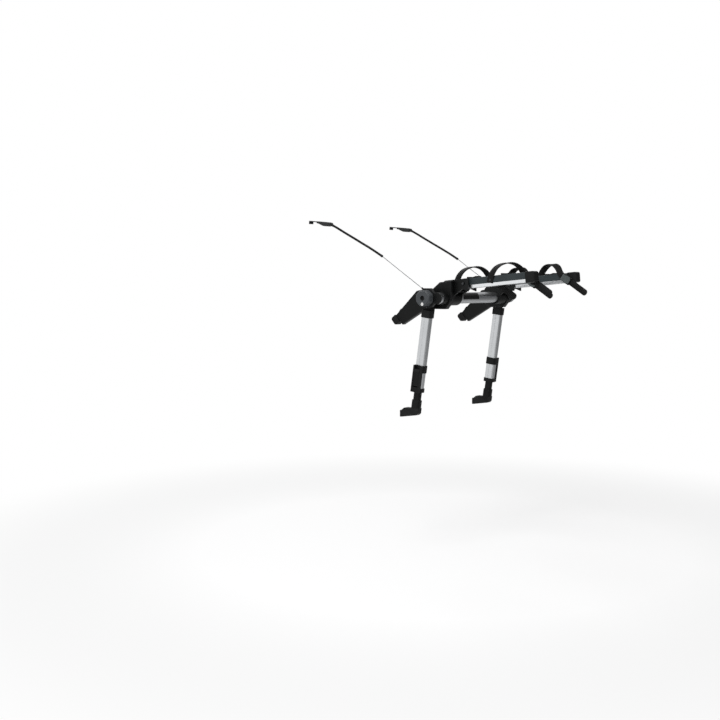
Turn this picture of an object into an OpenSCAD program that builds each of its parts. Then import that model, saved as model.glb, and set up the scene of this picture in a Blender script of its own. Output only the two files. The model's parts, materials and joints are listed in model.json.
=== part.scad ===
// Trunk mounted bike rack: a cross tube with a hub at each end. Each hub carries a fold-down bike arm,
// a telescopic leg, an upper foot and a cable winch whose cable ends in a hook.
// Sizes are in millimetres. Plus X is the right-hand side, plus Y is forward and plus Z is up.

/* [Cross tube] */
// Outer diameter of the cross tube
tube_d = 46; // [42:1:50]
// Wall of the cross tube
tube_wall = 2.5; // [1.5:0.5:4]
// Thickness of the flange on each end plug
plug_flange = 3; // [2:0.5:5]
// Depth of each end plug inside the tube
plug_depth = 14; // [8:1:30]

/* [Bare label plate] */
// Length of the plate along the tube
label_len = 118; // [60:1:125]
// Height of the plate
label_h = 27; // [15:1:34]
// Thickness of the plate
label_t = 2; // [1:0.5:4]
// Distance of the plate's middle from the middle of the tube
label_offset = 69; // [65:1:80]
// Turn of the plate up the tube's rear side
label_tilt = 20; // [0:1:30]

/* [Hub] */
// Distance between the middles of the two bike arms
arm_spread = 366; // [340:2:420]
// Thickness of the cheek inboard of the arm
inner_cheek_t = 9.5; // [6:0.5:14]
// Thickness of the cheek outboard of the arm
outer_cheek_t = 8; // [5:0.5:14]
// Room between the arm and its outboard cheek, where the strap root lies
strap_room = 8; // [7:0.5:14]
// Width of the block that holds the leg pivot bolt
block_w = 26; // [18:1:40]
// Wall of the hub around the cross tube
boss_wall = 7; // [5:0.5:10]
// Distance that the hub block reaches forward of the leg pivot
block_reach = 32; // [26:1:40]
// Depth of the hub block below the cross tube's axis
block_drop = 44; // [40:1:52]
// Height of the hub block above the cross tube's axis
block_rise = 66; // [58:1:72]
// Distance that the hub block reaches behind the cross tube's axis
block_back = 34; // [32:1:40]
// Length of the collar on the rear half of the tube, outboard of the hub block
collar_len = 30; // [10:1:36]
// Wall of that collar
collar_wall = 3; // [2:0.5:5]

/* [Bike arm] */
// Width of the bike arm
arm_w = 42; // [38:1:48]
// Height of the bike arm, rail and cover together
arm_h = 40; // [36:1:46]
// Height of the rail that shows below the cover
rail_flange_h = 13; // [9:0.5:16]
// Wall of the rail
rail_wall = 2.5; // [2:0.5:4]
// Wall of the arm cover
cover_wall = 3; // [2:0.5:4]
// Tilt of the arm, rising to the rear
arm_tilt = 5.2; // [0:0.1:10]
// Distance of the arm pivot behind the cross tube's axis
arm_pivot_back = 75; // [72:1:85]
// Length of the arm in front of its pivot
arm_front = 90; // [75:1:100]
// Length of the rail and cover behind the pivot
arm_back = 268; // [262:1:330]
// Length of the end cap
cap_len = 37; // [20:1:50]
// Distance that the end cap stands proud of the arm all round
cap_proud = 1.5; // [0.5:0.5:3]
// Diameter of the arm pivot pin
arm_pin_d = 10; // [8:0.5:12]
// Distance from the pivot to the middle of the inner cradle
cradle_near = 30; // [28:1:36]
// Distance between the two cradles on one arm
cradle_step = 154; // [140:1:160]
// Length of a cradle pad along the arm
pad_len = 44; // [30:1:56]
// Height of a cradle pad
pad_h = 6; // [4:0.5:10]
// Radius of the hollow in a cradle pad
pad_hollow_r = 55; // [45:1:80]

/* [Straps and buckles] */
// Width of a strap
strap_w = 26; // [20:1:28]
// Thickness of a strap
strap_t = 4; // [3:0.5:4.5]
// Length of a buckle body along the strap
buckle_len = 42; // [40:1:48]
// Wall on each side of the strap in the buckle
buckle_wall = 2.5; // [2:0.5:4]
// Height of the buckle's hinge pin above the arm's side
buckle_pin_height = 11; // [10:0.5:13]
// Diameter of the buckle's hinge pin
buckle_pin_d = 4; // [3:0.5:5]
// Length of the lever's six-sided face
lever_face_len = 31; // [26:1:32]
// Thickness of the lever's six-sided face
lever_face_t = 4; // [2.5:0.5:6]

/* [Leg] */
// Lean of the leg, going forward as it goes down
leg_lean = 8; // [0:0.5:12]
// Radius of the knuckle head on the pivot bolt
head_r = 24; // [22:0.5:28]
// Thickness of the knuckle head
head_t = 12; // [9:0.5:16]
// Diameter of the leg pivot bolt
bolt_d = 16; // [12:0.5:20]
// Distance from the pivot to the top of the leg socket
socket_top = 47; // [46.5:0.5:54]
// Distance from the pivot to the bottom of the leg socket
socket_bottom = 78; // [74:1:90]
// Wall of the leg socket
socket_wall = 3; // [2.5:0.5:5]
// Depth of the leg tube in its socket
socket_depth = 26; // [18:1:27]
// Distance that the leg's axis lies behind the pivot
leg_set = 6; // [0:0.5:8]
// Width of the leg tube, front to rear
leg_w = 40; // [36:1:44]
// Thickness of the leg tube, side to side
leg_t = 28; // [25:1:32]
// Corner radius of the leg tube
leg_r = 7; // [5:0.5:9]
// Wall of the leg tube
leg_wall = 2; // [1.5:0.5:3]
// Distance from the pivot to the top of the clamp
clamp_top = 272; // [240:1:290]
// Length of the clamp
clamp_len = 110; // [100:1:120]
// Height of the clamp's top band
top_band_h = 30; // [20:1:36]
// Height of the clamp's bottom band
low_band_h = 16; // [12:1:20]
// Wall of the two bands
clamp_wall = 3; // [2.5:0.5:5]
// Thickness of the clamp's lever housing, on the outboard side
housing_t = 14; // [13:0.5:18]
// Width of the clamp lever
lever_w = 24; // [16:1:28]
// Length of the clamp lever from its pin
lever_len = 66; // [40:1:70]
// Thickness of the clamp lever
lever_t = 6; // [5:0.5:8]
// Diameter of the clamp lever's pin
lever_pin_d = 4; // [3:0.5:5]

/* [Foot] */
// Distance from the pivot to where the stem meets the foot
stem_end = 450; // [440:1:480]
// Length of the stem that is inside the leg tube
stem_inside = 135; // [100:1:180]
// Width of the stem, front to rear
stem_w = 30; // [26:1:33]
// Thickness of the stem, side to side
stem_t = 20; // [16:1:22]
// Distance that the foot reaches forward of the stem's axis, pad included
foot_reach = 71; // [55:1:85]
// Height of the foot's contact face
foot_face_h = 28; // [20:1:30]
// Depth of the contact face's middle below the stem's end
foot_drop = 25; // [22:1:32]
// Width of the foot, side to side
foot_w = 28; // [22:1:34]
// Thickness of the rubber foot pad
foot_pad_t = 6; // [4:0.5:10]

/* [Upper foot] */
// Width of the foot arm, side to side
foot_arm_w = 20; // [16:1:28]
// Slope of the foot arm, going down as it goes forward
foot_arm_slope = 39.7; // [25:0.1:50]
// Length of the foot arm from the pivot
foot_arm_len = 176; // [150:1:200]
// Height of the foot arm's top edge over the pivot, at its root
foot_arm_root_top = 66; // [56:1:70]
// Height of the foot arm's top edge over the pivot, at its end
foot_arm_end_top = 54; // [46:1:58]
// Thickness of the foot arm at its end
foot_arm_end_t = 50; // [40:1:56]
// Thickness of the rubber pad
upper_pad_t = 27; // [18:1:36]
// Height of the rubber pad
upper_pad_h = 36; // [24:1:40]
// Width of the rubber pad, side to side
upper_pad_w = 34; // [20:1:40]

/* [Winch] */
// Half of the winch housing's width across its flats
house_r = 40; // [39:0.5:44]
// Wall between the winch and the cross tube
web_t = 2.5; // [1.5:0.5:4]
// Wall of the winch housing on the inboard side
house_wall = 3; // [2:0.5:5]
// Width of the winch drum, ratchet wheel included
drum_w = 9; // [8:0.5:14]
// Width of the ratchet wheel
ratchet_w = 3; // [2:0.5:4]
// Number of ratchet teeth
ratchet_teeth = 18; // [10:1:24]
// Depth of the drum's groove
groove_depth = 3.5; // [2.5:0.5:5]
// Diameter of the winch shaft
shaft_d = 12; // [9:0.5:14]
// Thickness of the winch cover
cover_t = 3; // [2:0.5:5]
// Half of the knob's width across its flats
knob_r = 31.5; // [28:0.5:36]
// Depth of the knob
knob_depth = 32; // [22:1:40]
// Diameter of the recess in the knob's face
recess_d = 20; // [16:1:22]
// Depth of that recess
recess_depth = 8; // [4:1:12]
// Diameter of the marker disc in the knob's face
marker_d = 13; // [8:0.5:14]
// Thickness of the marker disc
marker_t = 2; // [1:0.5:3]

/* [Cable and hook] */
// Diameter of the steel cable
cable_d = 3; // [2:0.5:3.5]
// Diameter of the rubber sleeve on the cable
sleeve_d = 10.5; // [8:0.5:14]
// Slope of the cable where it leaves the ferrule
cable_slope = 33.6; // [33:0.1:34.2]
// Width of the hook
hook_w = 32; // [26:1:44]
// Length of the hook body
hook_len = 74; // [66:1:90]
// Thickness of the hook body
hook_t = 18; // [15:1:22]
// Slope of the hook, rising to the front
hook_slope = 6; // [0:0.5:20]
// Length of the hook's coated metal tongue
tongue_len = 44; // [34:1:60]
// Thickness of that tongue, coating included
tongue_t = 4; // [3:0.5:5]
// Depth of the lip at the tongue's tip
lip_h = 14; // [8:1:20]

/* [Fits] */
// Radial clearance of a pin or bolt that is seated
seat_fit = 0.05; // [0.02:0.01:0.1]
// Radial clearance of a pin or shaft that turns
turn_fit = 0.08; // [0.04:0.01:0.12]
// Clearance of a piece that slides in or over another
slide_fit = 0.2; // [0.1:0.05:0.4]
// Gap between neighbouring pieces that move past each other
stack_gap = 1; // [0.5:0.1:1.5]

/* [Hidden] */
$fn = 64;
SHARED = ["cross_tube", "tube_plugs", "label_plate", "pivot_bolts", "arm_pins", "winch_covers"];
PER_SIDE = ["hub_body", "winch_housing", "winch_drum", "winch_knob", "knob_marker", "winch_pawl",
    "steel_cable", "cable_sleeve", "hook_body", "hook_tongue", "arm_rail", "arm_cover", "arm_end_cap",
    "cradle_pads", "inner_strap", "outer_strap", "buckles", "inner_buckle_lever", "outer_buckle_lever",
    "leg_knuckle", "leg_tube", "leg_clamp", "clamp_lever", "leg_stem", "foot_pad",
    "upper_foot_arm", "upper_pad"];

// Cut overlap, so that no cut ends on a face
cut = 1;
tube_r = tube_d / 2;
boss_r = tube_r + boss_wall;

// Places along X on the right side, from the arm outwards
arm_x = arm_spread / 2;
arm_gap = 0.5;
cheek_in1 = arm_x - arm_w / 2 - arm_gap;
cheek_in0 = cheek_in1 - inner_cheek_t;
cheek_out0 = arm_x + arm_w / 2 + strap_room;
cheek_out1 = cheek_out0 + outer_cheek_t;
block_x = cheek_out1 + block_w;
foot_arm_x0 = block_x + stack_gap;
foot_arm_x1 = foot_arm_x0 + foot_arm_w;
head_x0 = foot_arm_x1 + stack_gap;
head_x1 = head_x0 + head_t;
house_x0 = head_x1 + stack_gap;
drum_x0 = house_x0 + house_wall + stack_gap / 2;
drum_x1 = drum_x0 + drum_w;
cover_x0 = drum_x1 + stack_gap / 2;
cover_x1 = cover_x0 + cover_t;
tube_x = cover_x1 - plug_flange;
knob_x0 = cover_x1 + stack_gap;
knob_x1 = knob_x0 + knob_depth;
socket_w = leg_t + 2 * slide_fit + 2 * socket_wall;
leg_x = head_x0 + socket_w / 2;

// The leg pivot, shared by the leg, the upper foot and the winch
pivot_y = tube_r + head_r + stack_gap;

// The arm pivot, and the arm's top edge at a place along Y
saddle_gap = 1.3;
arm_pivot_y = -arm_pivot_back;
arm_pivot_z = boss_r + saddle_gap + arm_h / 2 / cos(arm_tilt) + arm_pivot_back * tan(arm_tilt);
function arm_top(y) = arm_pivot_z + arm_h / 2 / cos(arm_tilt) - (y - arm_pivot_y) * tan(arm_tilt);
cover_top = arm_h / 2;
cover_bottom = rail_flange_h - arm_h / 2;
rail_box_w = arm_w - 2 * cover_wall - 2 * slide_fit;
rail_hollow_w = rail_box_w - 2 * rail_wall;
rail_hollow_z0 = rail_wall - arm_h / 2;
rail_hollow_z1 = cover_top - cover_wall - slide_fit - rail_wall;

// The strap's route from its root on the arm's outboard side, over the cradle and through the buckle.
// X is measured from the arm's middle, Y from the cradle's middle and Z from the cover's top.
root_gap = 0.3;
buckle_gap = 0.5;
buckle_base_t = 2;
root_x = arm_w / 2 + root_gap + strap_t / 2;
buckle_stand = cap_proud + buckle_gap;
strap_x = arm_w / 2 + buckle_stand + buckle_base_t + buckle_gap + strap_t / 2;
buckle_y = -82;
buckle_z = -25.5;
tail_y = -165;
tail_z = -93.4;
STRAP = [[root_x, 72, -27], [root_x, 66, -8], [root_x, 55, 12], [20, 38, 30], [12, 18, 40],
    [2, -6, 42.5], [-8, -26, 37], [-16, -42, 23], [-24, -53, 4], [-strap_x, -65, -11.6],
    [-strap_x, buckle_y, buckle_z], [-strap_x, -100, -40.2], [-strap_x, -132, -66.4],
    [-strap_x, tail_y, tail_z]];
// The way the strap's outer face looks at each of those points, as an angle from plus X towards plus Z
STRAP_FACE = [0, 0, 20, 45, 70, 90, 112, 135, 158, 178, 180, 180, 180, 180];
strap_slope = atan2(buckle_z - tail_z, buckle_y - tail_y);
buckle_w = strap_w + 2 * slide_fit + 2 * buckle_wall;
buckle_pin_inset = 3;
buckle_pin_y = buckle_len / 2 - buckle_pin_inset;
buckle_foot_r = 5;
buckle_foot_y = 8;
lever_face_clear = 7;

// The stem slides in the leg tube, and the foot's contact face sets the part's origin
clamp_bottom = clamp_top + clamp_len;
collar_h = 6;
leg_end = clamp_bottom - collar_h;
stem_r = 5;
stem_y = pivot_y + stem_end * sin(leg_lean) - leg_set * cos(leg_lean);
stem_z = -stem_end * cos(leg_lean) - leg_set * sin(leg_lean);
seat_y = stem_y + foot_reach;
seat_z = stem_z - foot_drop;
lever_hub_wall = 3;
lever_pin_rise = 8;
lever_hub_r = lever_pin_d / 2 + lever_hub_wall;
lever_side = 0.5;
slot_floor = 2;
housing_x0 = leg_t / 2 + slide_fit;
housing_x1 = housing_x0 + housing_t;
lever_pin_x = housing_x1 - lever_hub_r - lever_side;
lever_pin_z = low_band_h + lever_hub_r + lever_pin_rise - clamp_bottom;

// The winch
cavity_r = pivot_y - tube_r - seat_fit - web_t;
drum_gap = 1.4;
drum_r = cavity_r - drum_gap;
groove_r = drum_r - groove_depth;
tooth_h = 2;
cable_r = cable_d / 2;
pawl_pivot_out = 8.5;
pawl_pivot_r = drum_r + pawl_pivot_out;
pawl_pin_d = 4;
pawl_nose = [-8.1, -3];
pawl_pocket_r = 9;
pawl_pocket_in = 1;
ferrule_r = 3.4;
ferrule_clear = 0.6;
ferrule_len = 46;
ferrule_start = 26;
rope_x = (drum_x0 + ratchet_w + drum_x1) / 2;

// The cable's route from the ferrule to the hook, and the point where its sleeve starts
CABLE = [[290.5, 71, 38], [291, 100, 57], [291, 130, 77], [292, 160, 97], [292, 190, 117], [292, 220, 137],
    [293, 245, 154], [293, 269, 170], [294, 302, 189], [294, 335, 207], [295, 368, 224], [295, 401, 241],
    [296, 434, 258], [297, 467, 275], [298, 499, 292], [298, 530, 307]];
sleeve_at = 7;
cable_last = len(CABLE) - 1;
cable_end = CABLE[cable_last];
cable_lead = CABLE[cable_last - 1];
sleeve_slope = atan2(cable_end[2] - cable_lead[2], cable_end[1] - cable_lead[1]);
wire_sides = 8;
sleeve_sides = 12;
crimp_len = 15;
crimp_d = 13;

// Moves a piece that is modelled about the cross tube's middle to the part's origin
module seat() {
    translate([0, -seat_y, -seat_z]) children();
}

// Draws a right-hand piece, or its mirror image on the left
module on_side(side) {
    seat() mirror([side < 0 ? 1 : 0, 0, 0]) children();
}

// Draws both mirror images
module on_both() {
    on_side(1) children();
    on_side(-1) children();
}

// A flat outline in Y and Z, thick from x0 to x1
module slab(x0, x1) {
    translate([x0, 0, 0]) rotate([90, 0, 90]) linear_extrude(x1 - x0) children();
}

// An outline in X and Z, long from y0 to y1
module bar(y0, y1) {
    translate([0, y1, 0]) rotate([90, 0, 0]) linear_extrude(y1 - y0) children();
}

// A round that lies along X
module rod(x0, x1, r, y = 0, z = 0) {
    translate([x0, y, z]) rotate([0, 90, 0]) cylinder(r = r, h = x1 - x0);
}

// A rectangle with round corners
module soft_square(w, h, r) {
    square([w - 2 * r, h], center = true);
    square([w, h - 2 * r], center = true);
    for (x = [-1, 1], y = [-1, 1]) translate([x * (w / 2 - r), y * (h / 2 - r)]) circle(r = r);
}

// The leg tube's outline, grown all round
module leg_outline(grow = 0) {
    soft_square(leg_t + 2 * grow, leg_w + 2 * grow, leg_r + grow);
}

// The stem's outline, grown all round
module stem_outline(grow = 0) {
    soft_square(stem_t + 2 * grow, stem_w + 2 * grow, stem_r + grow);
}

// Frames of the moving pieces
module at_pivot() {
    translate([0, pivot_y, 0]) children();
}
module at_leg() {
    at_pivot() rotate([leg_lean, 0, 0]) children();
}
module at_leg_axis() {
    at_leg() translate([leg_x, -leg_set, 0]) children();
}
module at_arm() {
    translate([arm_x, arm_pivot_y, arm_pivot_z]) rotate([-arm_tilt, 0, 0]) children();
}
module at_cradle(far) {
    translate([0, -cradle_near - far * cradle_step, cover_top]) children();
}
module at_buckle(far) {
    at_cradle(far) translate([-arm_w / 2 - buckle_stand, buckle_y, buckle_z])
        rotate([strap_slope, 0, 0]) children();
}

// Sweeps a ring of points along a route: RINGS holds one list of points for each place on the route
module loft(rings) {
    n = len(rings[0]);
    last = len(rings) - 1;
    points = [for (ring = rings, p = ring) p];
    sides = [for (i = [0:last - 1], j = [0:n - 1], half = [0, 1])
        let (a = i * n + j, b = i * n + (j + 1) % n)
        half == 0 ? [a, b, b + n] : [a, b + n, a + n]];
    start = [for (j = [1:n - 2]) [0, j + 1, j]];
    end = [for (j = [1:n - 2]) [last * n, last * n + j, last * n + j + 1]];
    polyhedron(points, concat(sides, start, end));
}
function unit(v) = v / norm(v);
function heading(path, i) = unit(path[min(i + 1, len(path) - 1)] - path[max(i - 1, 0)]);

// A round cord along a path
module cord(path, r, sides) {
    loft([for (i = [0:len(path) - 1])
        let (t = heading(path, i), a = unit(cross(t, [1, 0, 0])), b = cross(t, a))
        [for (k = [0:sides - 1]) path[i] + r * (cos(360 * k / sides) * a + sin(360 * k / sides) * b)]]);
}

// A flat strap along a path, whose outer face looks along the angle given for each point
module ribbon(path, face, w, t) {
    loft([for (i = [0:len(path) - 1])
        let (d = heading(path, i), n0 = [cos(face[i]), 0, sin(face[i])],
            across = unit(cross(n0, d)), n = cross(d, across))
        [for (c = [[-1, -1], [1, -1], [1, 1], [-1, 1]]) path[i] + c[0] * w / 2 * across + c[1] * t / 2 * n]]);
}

// The cross tube
module cross_tube() {
    color("silver") seat() difference() {
        rod(-tube_x, tube_x, tube_r);
        rod(-tube_x - cut, tube_x + cut, tube_r - tube_wall);
    }
}

module tube_plugs() {
    color("#202020") on_both() {
        rod(tube_x, cover_x1, tube_r);
        rod(tube_x - plug_depth, tube_x, tube_r - tube_wall - seat_fit);
    }
}

module label_plate() {
    color("#1c1c1c") seat() rotate([-label_tilt, 0, 0]) intersection() {
        difference() {
            rod(-label_offset - label_len / 2, -label_offset + label_len / 2, tube_r + seat_fit + label_t);
            rod(-label_offset - label_len, -label_offset + label_len, tube_r + seat_fit);
        }
        translate([-label_offset - label_len, -tube_d, -label_h / 2]) cube([2 * label_len, tube_d, label_h]);
    }
}

// The hub's cheeks, beside the arm: each corner is given along Y and then Z
cheek_tail = 22;
cheek_front_gap = 2;
cheek_bottom = 27;
cheek_ramp = [26, 10];
cheek_neck = [4, 12];
cheek_toe = 10;
cheek_brow = [34, 36];
cheek_back = -arm_pivot_back - cheek_tail;
cheek_front = pivot_y - cheek_front_gap;
module cheek_outline() {
    corner = boss_r * cos(45);
    brow_y = cheek_front - cheek_brow[0];
    polygon([[cheek_back, cheek_bottom], [cheek_back + cheek_ramp[0], cheek_bottom + cheek_ramp[1]],
        [-boss_r - cheek_neck[0], cheek_neck[1]], [-corner, -corner], [corner, -corner],
        [cheek_front, -cheek_toe], [cheek_front, cheek_brow[1]], [brow_y, arm_top(brow_y)],
        [cheek_back, arm_top(cheek_back)]]);
}

// The hub's block, round the leg pivot: each corner is given in from the block's front or back
block_heel_top = 4;
block_heel = [8, -20];
block_sole = 27;
block_toe = [8, 16];
block_nose = 18;
block_brow = [25, 36];
block_crown = [60, 2];
block_peak = 3;
module block_outline() {
    front = pivot_y + block_reach;
    polygon([[-block_back, block_heel_top], [-block_back + block_heel[0], block_heel[1]],
        [-block_back + block_sole, -block_drop], [front - block_toe[0], -block_drop],
        [front, -block_drop + block_toe[1]], [front, block_nose], [front - block_brow[0], block_brow[1]],
        [front - block_crown[0], block_rise - block_crown[1]], [-block_back, block_rise + block_peak]]);
}

// The hub, with the saddle under the arm and the seats of the arm pin and the leg pivot bolt
saddle_start = 27;
saddle_t = 5;
saddle_sink = 1;
pin_boss_wall = 5;
pin_seat_depth = 6;
bolt_seat_depth = 22;
saddle_back = arm_pivot_y + saddle_start;
pin_boss_r = arm_pin_d / 2 + pin_boss_wall;
pin_seat_x = cheek_out1 + pin_seat_depth;
bolt_seat_x = block_x - bolt_seat_depth;
module hub_body(side) {
    color("#222222") on_side(side) difference() {
        union() {
            rod(cheek_in0, block_x, boss_r);
            slab(cheek_in0, cheek_in1) cheek_outline();
            slab(cheek_out0, cheek_out1) cheek_outline();
            slab(cheek_out1, block_x) block_outline();
            translate([cheek_in0, saddle_back, boss_r - saddle_sink - saddle_t])
                cube([cheek_out1 - cheek_in0, -saddle_back, saddle_t]);
            rod(arm_x + arm_w / 2 + arm_gap, cheek_out0 + cut, pin_boss_r, arm_pivot_y, arm_pivot_z);
            intersection() {
                rod(block_x - cut, block_x + collar_len, tube_r + collar_wall);
                translate([0, -tube_d, -tube_d]) cube([2 * block_x, tube_d, 2 * tube_d]);
            }
        }
        rod(0, 2 * block_x, tube_r + seat_fit);
        rod(0, pin_seat_x, arm_pin_d / 2 + seat_fit, arm_pivot_y, arm_pivot_z);
        rod(bolt_seat_x, 2 * block_x, bolt_d / 2 + seat_fit, pivot_y);
    }
}

pin_head_t = 3;
pin_head_inset = 1;
module arm_pins() {
    color("silver") on_both() {
        rod(cheek_in0, pin_seat_x, arm_pin_d / 2, arm_pivot_y, arm_pivot_z);
        rod(cheek_in0 - pin_head_t, cheek_in0, pin_boss_r - pin_head_inset, arm_pivot_y, arm_pivot_z);
    }
}

module pivot_bolts() {
    color("#8a8c8e") on_both() rod(bolt_seat_x, house_x0 + house_wall, bolt_d / 2, pivot_y);
}

// The winch
module octagon(r) {
    sides = 8;
    rotate(180 / sides) circle(r = r / cos(180 / sides), $fn = sides);
}
module along_cable() {
    translate([rope_x, 0, 0]) rotate([cable_slope, 0, 0]) translate([0, 0, groove_r + cable_r])
        rotate([-90, 0, 0]) children();
}
module winch_housing(side) {
    color("#1e1e1e") on_side(side) difference() {
        union() {
            at_pivot() difference() {
                union() {
                    slab(house_x0, cover_x0) octagon(house_r);
                    along_cable() translate([0, 0, ferrule_start])
                        cylinder(r = ferrule_r, h = ferrule_len - ferrule_start);
                }
                rod(house_x0 + house_wall, 2 * house_x0, cavity_r);
                rod(house_x0 + house_wall, 2 * house_x0, pawl_pocket_r, pawl_pivot_r - pawl_pocket_in);
                rod(0, 2 * house_x0, bolt_d / 2 + seat_fit);
                along_cable() cylinder(r = cable_r + ferrule_clear, h = 2 * ferrule_len);
            }
            at_pivot() rod(house_x0 + house_wall - cut, cover_x0, pawl_pin_d / 2, pawl_pivot_r);
        }
        rod(0, 2 * house_x0, tube_r + seat_fit);
    }
}

module winch_covers() {
    color("#1e1e1e") on_both() difference() {
        at_pivot() slab(cover_x0, cover_x1) octagon(house_r);
        rod(0, 2 * house_x0, tube_r + seat_fit);
        at_pivot() rod(0, 2 * house_x0, shaft_d / 2 + turn_fit);
    }
}

shaft_floor = 6.4;
shaft_end = knob_x1 - recess_depth - shaft_floor;
tooth_tip = 0.12;
drum_rim = 1.5;
module winch_drum(side) {
    color("#8a8c8e") on_side(side) at_pivot() {
        slab(drum_x0, drum_x0 + ratchet_w) polygon([for (i = [0:ratchet_teeth - 1], tip = [0, 1])
            let (a = 360 * (i + tooth_tip * tip) / ratchet_teeth, r = tip == 1 ? drum_r : drum_r - tooth_h)
            [r * cos(a), r * sin(a)]]);
        rod(drum_x0 + ratchet_w, drum_x1, groove_r);
        rod(drum_x1 - drum_rim, drum_x1, drum_r);
        rod(drum_x1, shaft_end, shaft_d / 2);
    }
}

pawl_side = 0.2;
pawl_eye_wall = 2;
pawl_back = 1;
pawl_belly = 1.5;
module winch_pawl(side) {
    pin_r = pawl_pin_d / 2;
    color("#8a8c8e") on_side(side) at_pivot() translate([0, pawl_pivot_r, 0]) difference() {
        slab(drum_x0 + pawl_side, drum_x0 + ratchet_w - pawl_side) {
            circle(r = pin_r + pawl_eye_wall);
            polygon([[0, pin_r + pawl_back], pawl_nose, [0, -pin_r - pawl_belly]]);
        }
        rod(0, 2 * house_x0, pin_r + turn_fit);
    }
}

knob_edge = 5;
knob_corner = 1.5;
marker_edge = 1.8;
marker_at = knob_r - marker_d / 2 - marker_edge;
module winch_knob(side) {
    turned_r = knob_r + knob_corner;
    color("#55585a") on_side(side) at_pivot() difference() {
        intersection() {
            slab(knob_x0, knob_x1) octagon(knob_r);
            translate([knob_x0, 0, 0]) rotate([0, 90, 0]) rotate_extrude()
                polygon([[0, 0], [turned_r, 0], [turned_r, knob_depth - knob_edge],
                    [turned_r - knob_edge, knob_depth], [0, knob_depth]]);
        }
        rod(0, shaft_end + seat_fit, shaft_d / 2 + seat_fit);
        rod(knob_x1 - recess_depth, 2 * knob_x1, recess_d / 2);
        rod(knob_x1 - marker_t, 2 * knob_x1, marker_d / 2 + seat_fit, 0, -marker_at);
    }
}

module knob_marker(side) {
    color("white") on_side(side) at_pivot() rod(knob_x1 - marker_t, knob_x1, marker_d / 2, 0, -marker_at);
}

// The cable, its sleeve and its hook
module steel_cable(side) {
    color("#b8b8b8") on_side(side) cord([for (i = [0:sleeve_at]) CABLE[i]], cable_r, wire_sides);
}

module cable_sleeve(side) {
    color("#202020") on_side(side)
        cord([for (i = [sleeve_at:cable_last]) CABLE[i]], sleeve_d / 2, sleeve_sides);
}

module at_hook() {
    translate(cable_end) rotate([hook_slope, 0, 0]) children();
}
hook_back = 4;
hook_top = 10.5;
hook_heel = [16, 5];
hook_heel_top = 2;
hook_nose = 8;
module hook_body(side) {
    heel_y = hook_back + hook_heel[0];
    low = hook_top - hook_t;
    nose_low = hook_top - hook_t / 2;
    color("#2c2c2c") on_side(side) {
        translate(cable_end) rotate([sleeve_slope - 90, 0, 0]) cylinder(d = crimp_d, h = crimp_len);
        at_hook() slab(-hook_w / 2, hook_w / 2) polygon([[hook_back, low + hook_heel[1]], [heel_y, low],
            [hook_len / 2, low], [hook_len - hook_nose, nose_low], [hook_len, nose_low], [hook_len, hook_top],
            [heel_y, hook_top], [hook_back, hook_top - hook_heel_top]]);
    }
}

tongue_sink = 1;
tongue_in = 3;
tongue_top = hook_top - tongue_sink;
module hook_tongue(side) {
    tip = hook_len + tongue_len;
    under = tongue_top - tongue_t;
    color("#2c2c2c") on_side(side) at_hook() slab(-hook_w / 2 + tongue_in, hook_w / 2 - tongue_in)
        polygon([[hook_len, under], [tip - tongue_t, under], [tip - tongue_t, tongue_top - lip_h],
            [tip, tongue_top - lip_h], [tip, tongue_top], [hook_len, tongue_top]]);
}

// The bike arm
module arm_rail(side) {
    box_h = rail_hollow_z1 + rail_wall + arm_h / 2;
    hollow_h = rail_hollow_z1 - rail_hollow_z0;
    color("silver") on_side(side) at_arm() difference() {
        bar(-arm_back, arm_front) difference() {
            union() {
                translate([-arm_w / 2, -arm_h / 2]) square([arm_w, rail_flange_h]);
                translate([-rail_box_w / 2, -arm_h / 2]) square([rail_box_w, box_h]);
            }
            translate([-rail_hollow_w / 2, rail_hollow_z0]) square([rail_hollow_w, hollow_h]);
        }
        rod(-arm_w, arm_w, arm_pin_d / 2 + turn_fit);
    }
}

module arm_cover(side) {
    color("#2f3538") on_side(side) at_arm() difference() {
        bar(-arm_back, arm_front) difference() {
            translate([-arm_w / 2, cover_bottom]) square([arm_w, cover_top - cover_bottom]);
            translate([-arm_w / 2 + cover_wall, cover_bottom - cut])
                square([arm_w - 2 * cover_wall, cover_top - cover_bottom - cover_wall + cut]);
        }
        rod(-arm_w, arm_w, arm_pin_d / 2 + arm_gap);
    }
}

cap_r = 6;
spigot_len = 16;
module arm_end_cap(side) {
    w = arm_w + 2 * cap_proud;
    h = arm_h + 2 * cap_proud;
    end = -arm_back - cap_len;
    spigot_w = rail_hollow_w - 2 * slide_fit;
    spigot_h = rail_hollow_z1 - rail_hollow_z0 - 2 * slide_fit;
    color("#1c1c1c") on_side(side) at_arm() {
        hull() {
            bar(end + cap_r, -arm_back) soft_square(w, h, cap_r / 2, $fn = 32);
            bar(end, end + cap_r) soft_square(w - cap_r, h - cap_r, cap_r / 2, $fn = 32);
        }
        translate([0, 0, (rail_hollow_z0 + rail_hollow_z1) / 2]) bar(-arm_back, -arm_back + spigot_len)
            square([spigot_w, spigot_h], center = true);
    }
}

pad_inset = 1;
pad_hollow = 2.7;
module cradle_pads(side) {
    color("#202020") on_side(side) at_arm() for (far = [0, 1]) at_cradle(far) difference() {
        translate([-arm_w / 2 + pad_inset, -pad_len / 2, 0]) cube([arm_w - 2 * pad_inset, pad_len, pad_h]);
        rod(-arm_w, arm_w, pad_hollow_r, 0, pad_hollow_r + pad_h - pad_hollow);
    }
}

module strap(side, far) {
    color("#262626") on_side(side) at_arm() at_cradle(far) ribbon(STRAP, STRAP_FACE, strap_w, strap_t);
}
module inner_strap(side) {
    strap(side, 0);
}
module outer_strap(side) {
    strap(side, 1);
}

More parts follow.
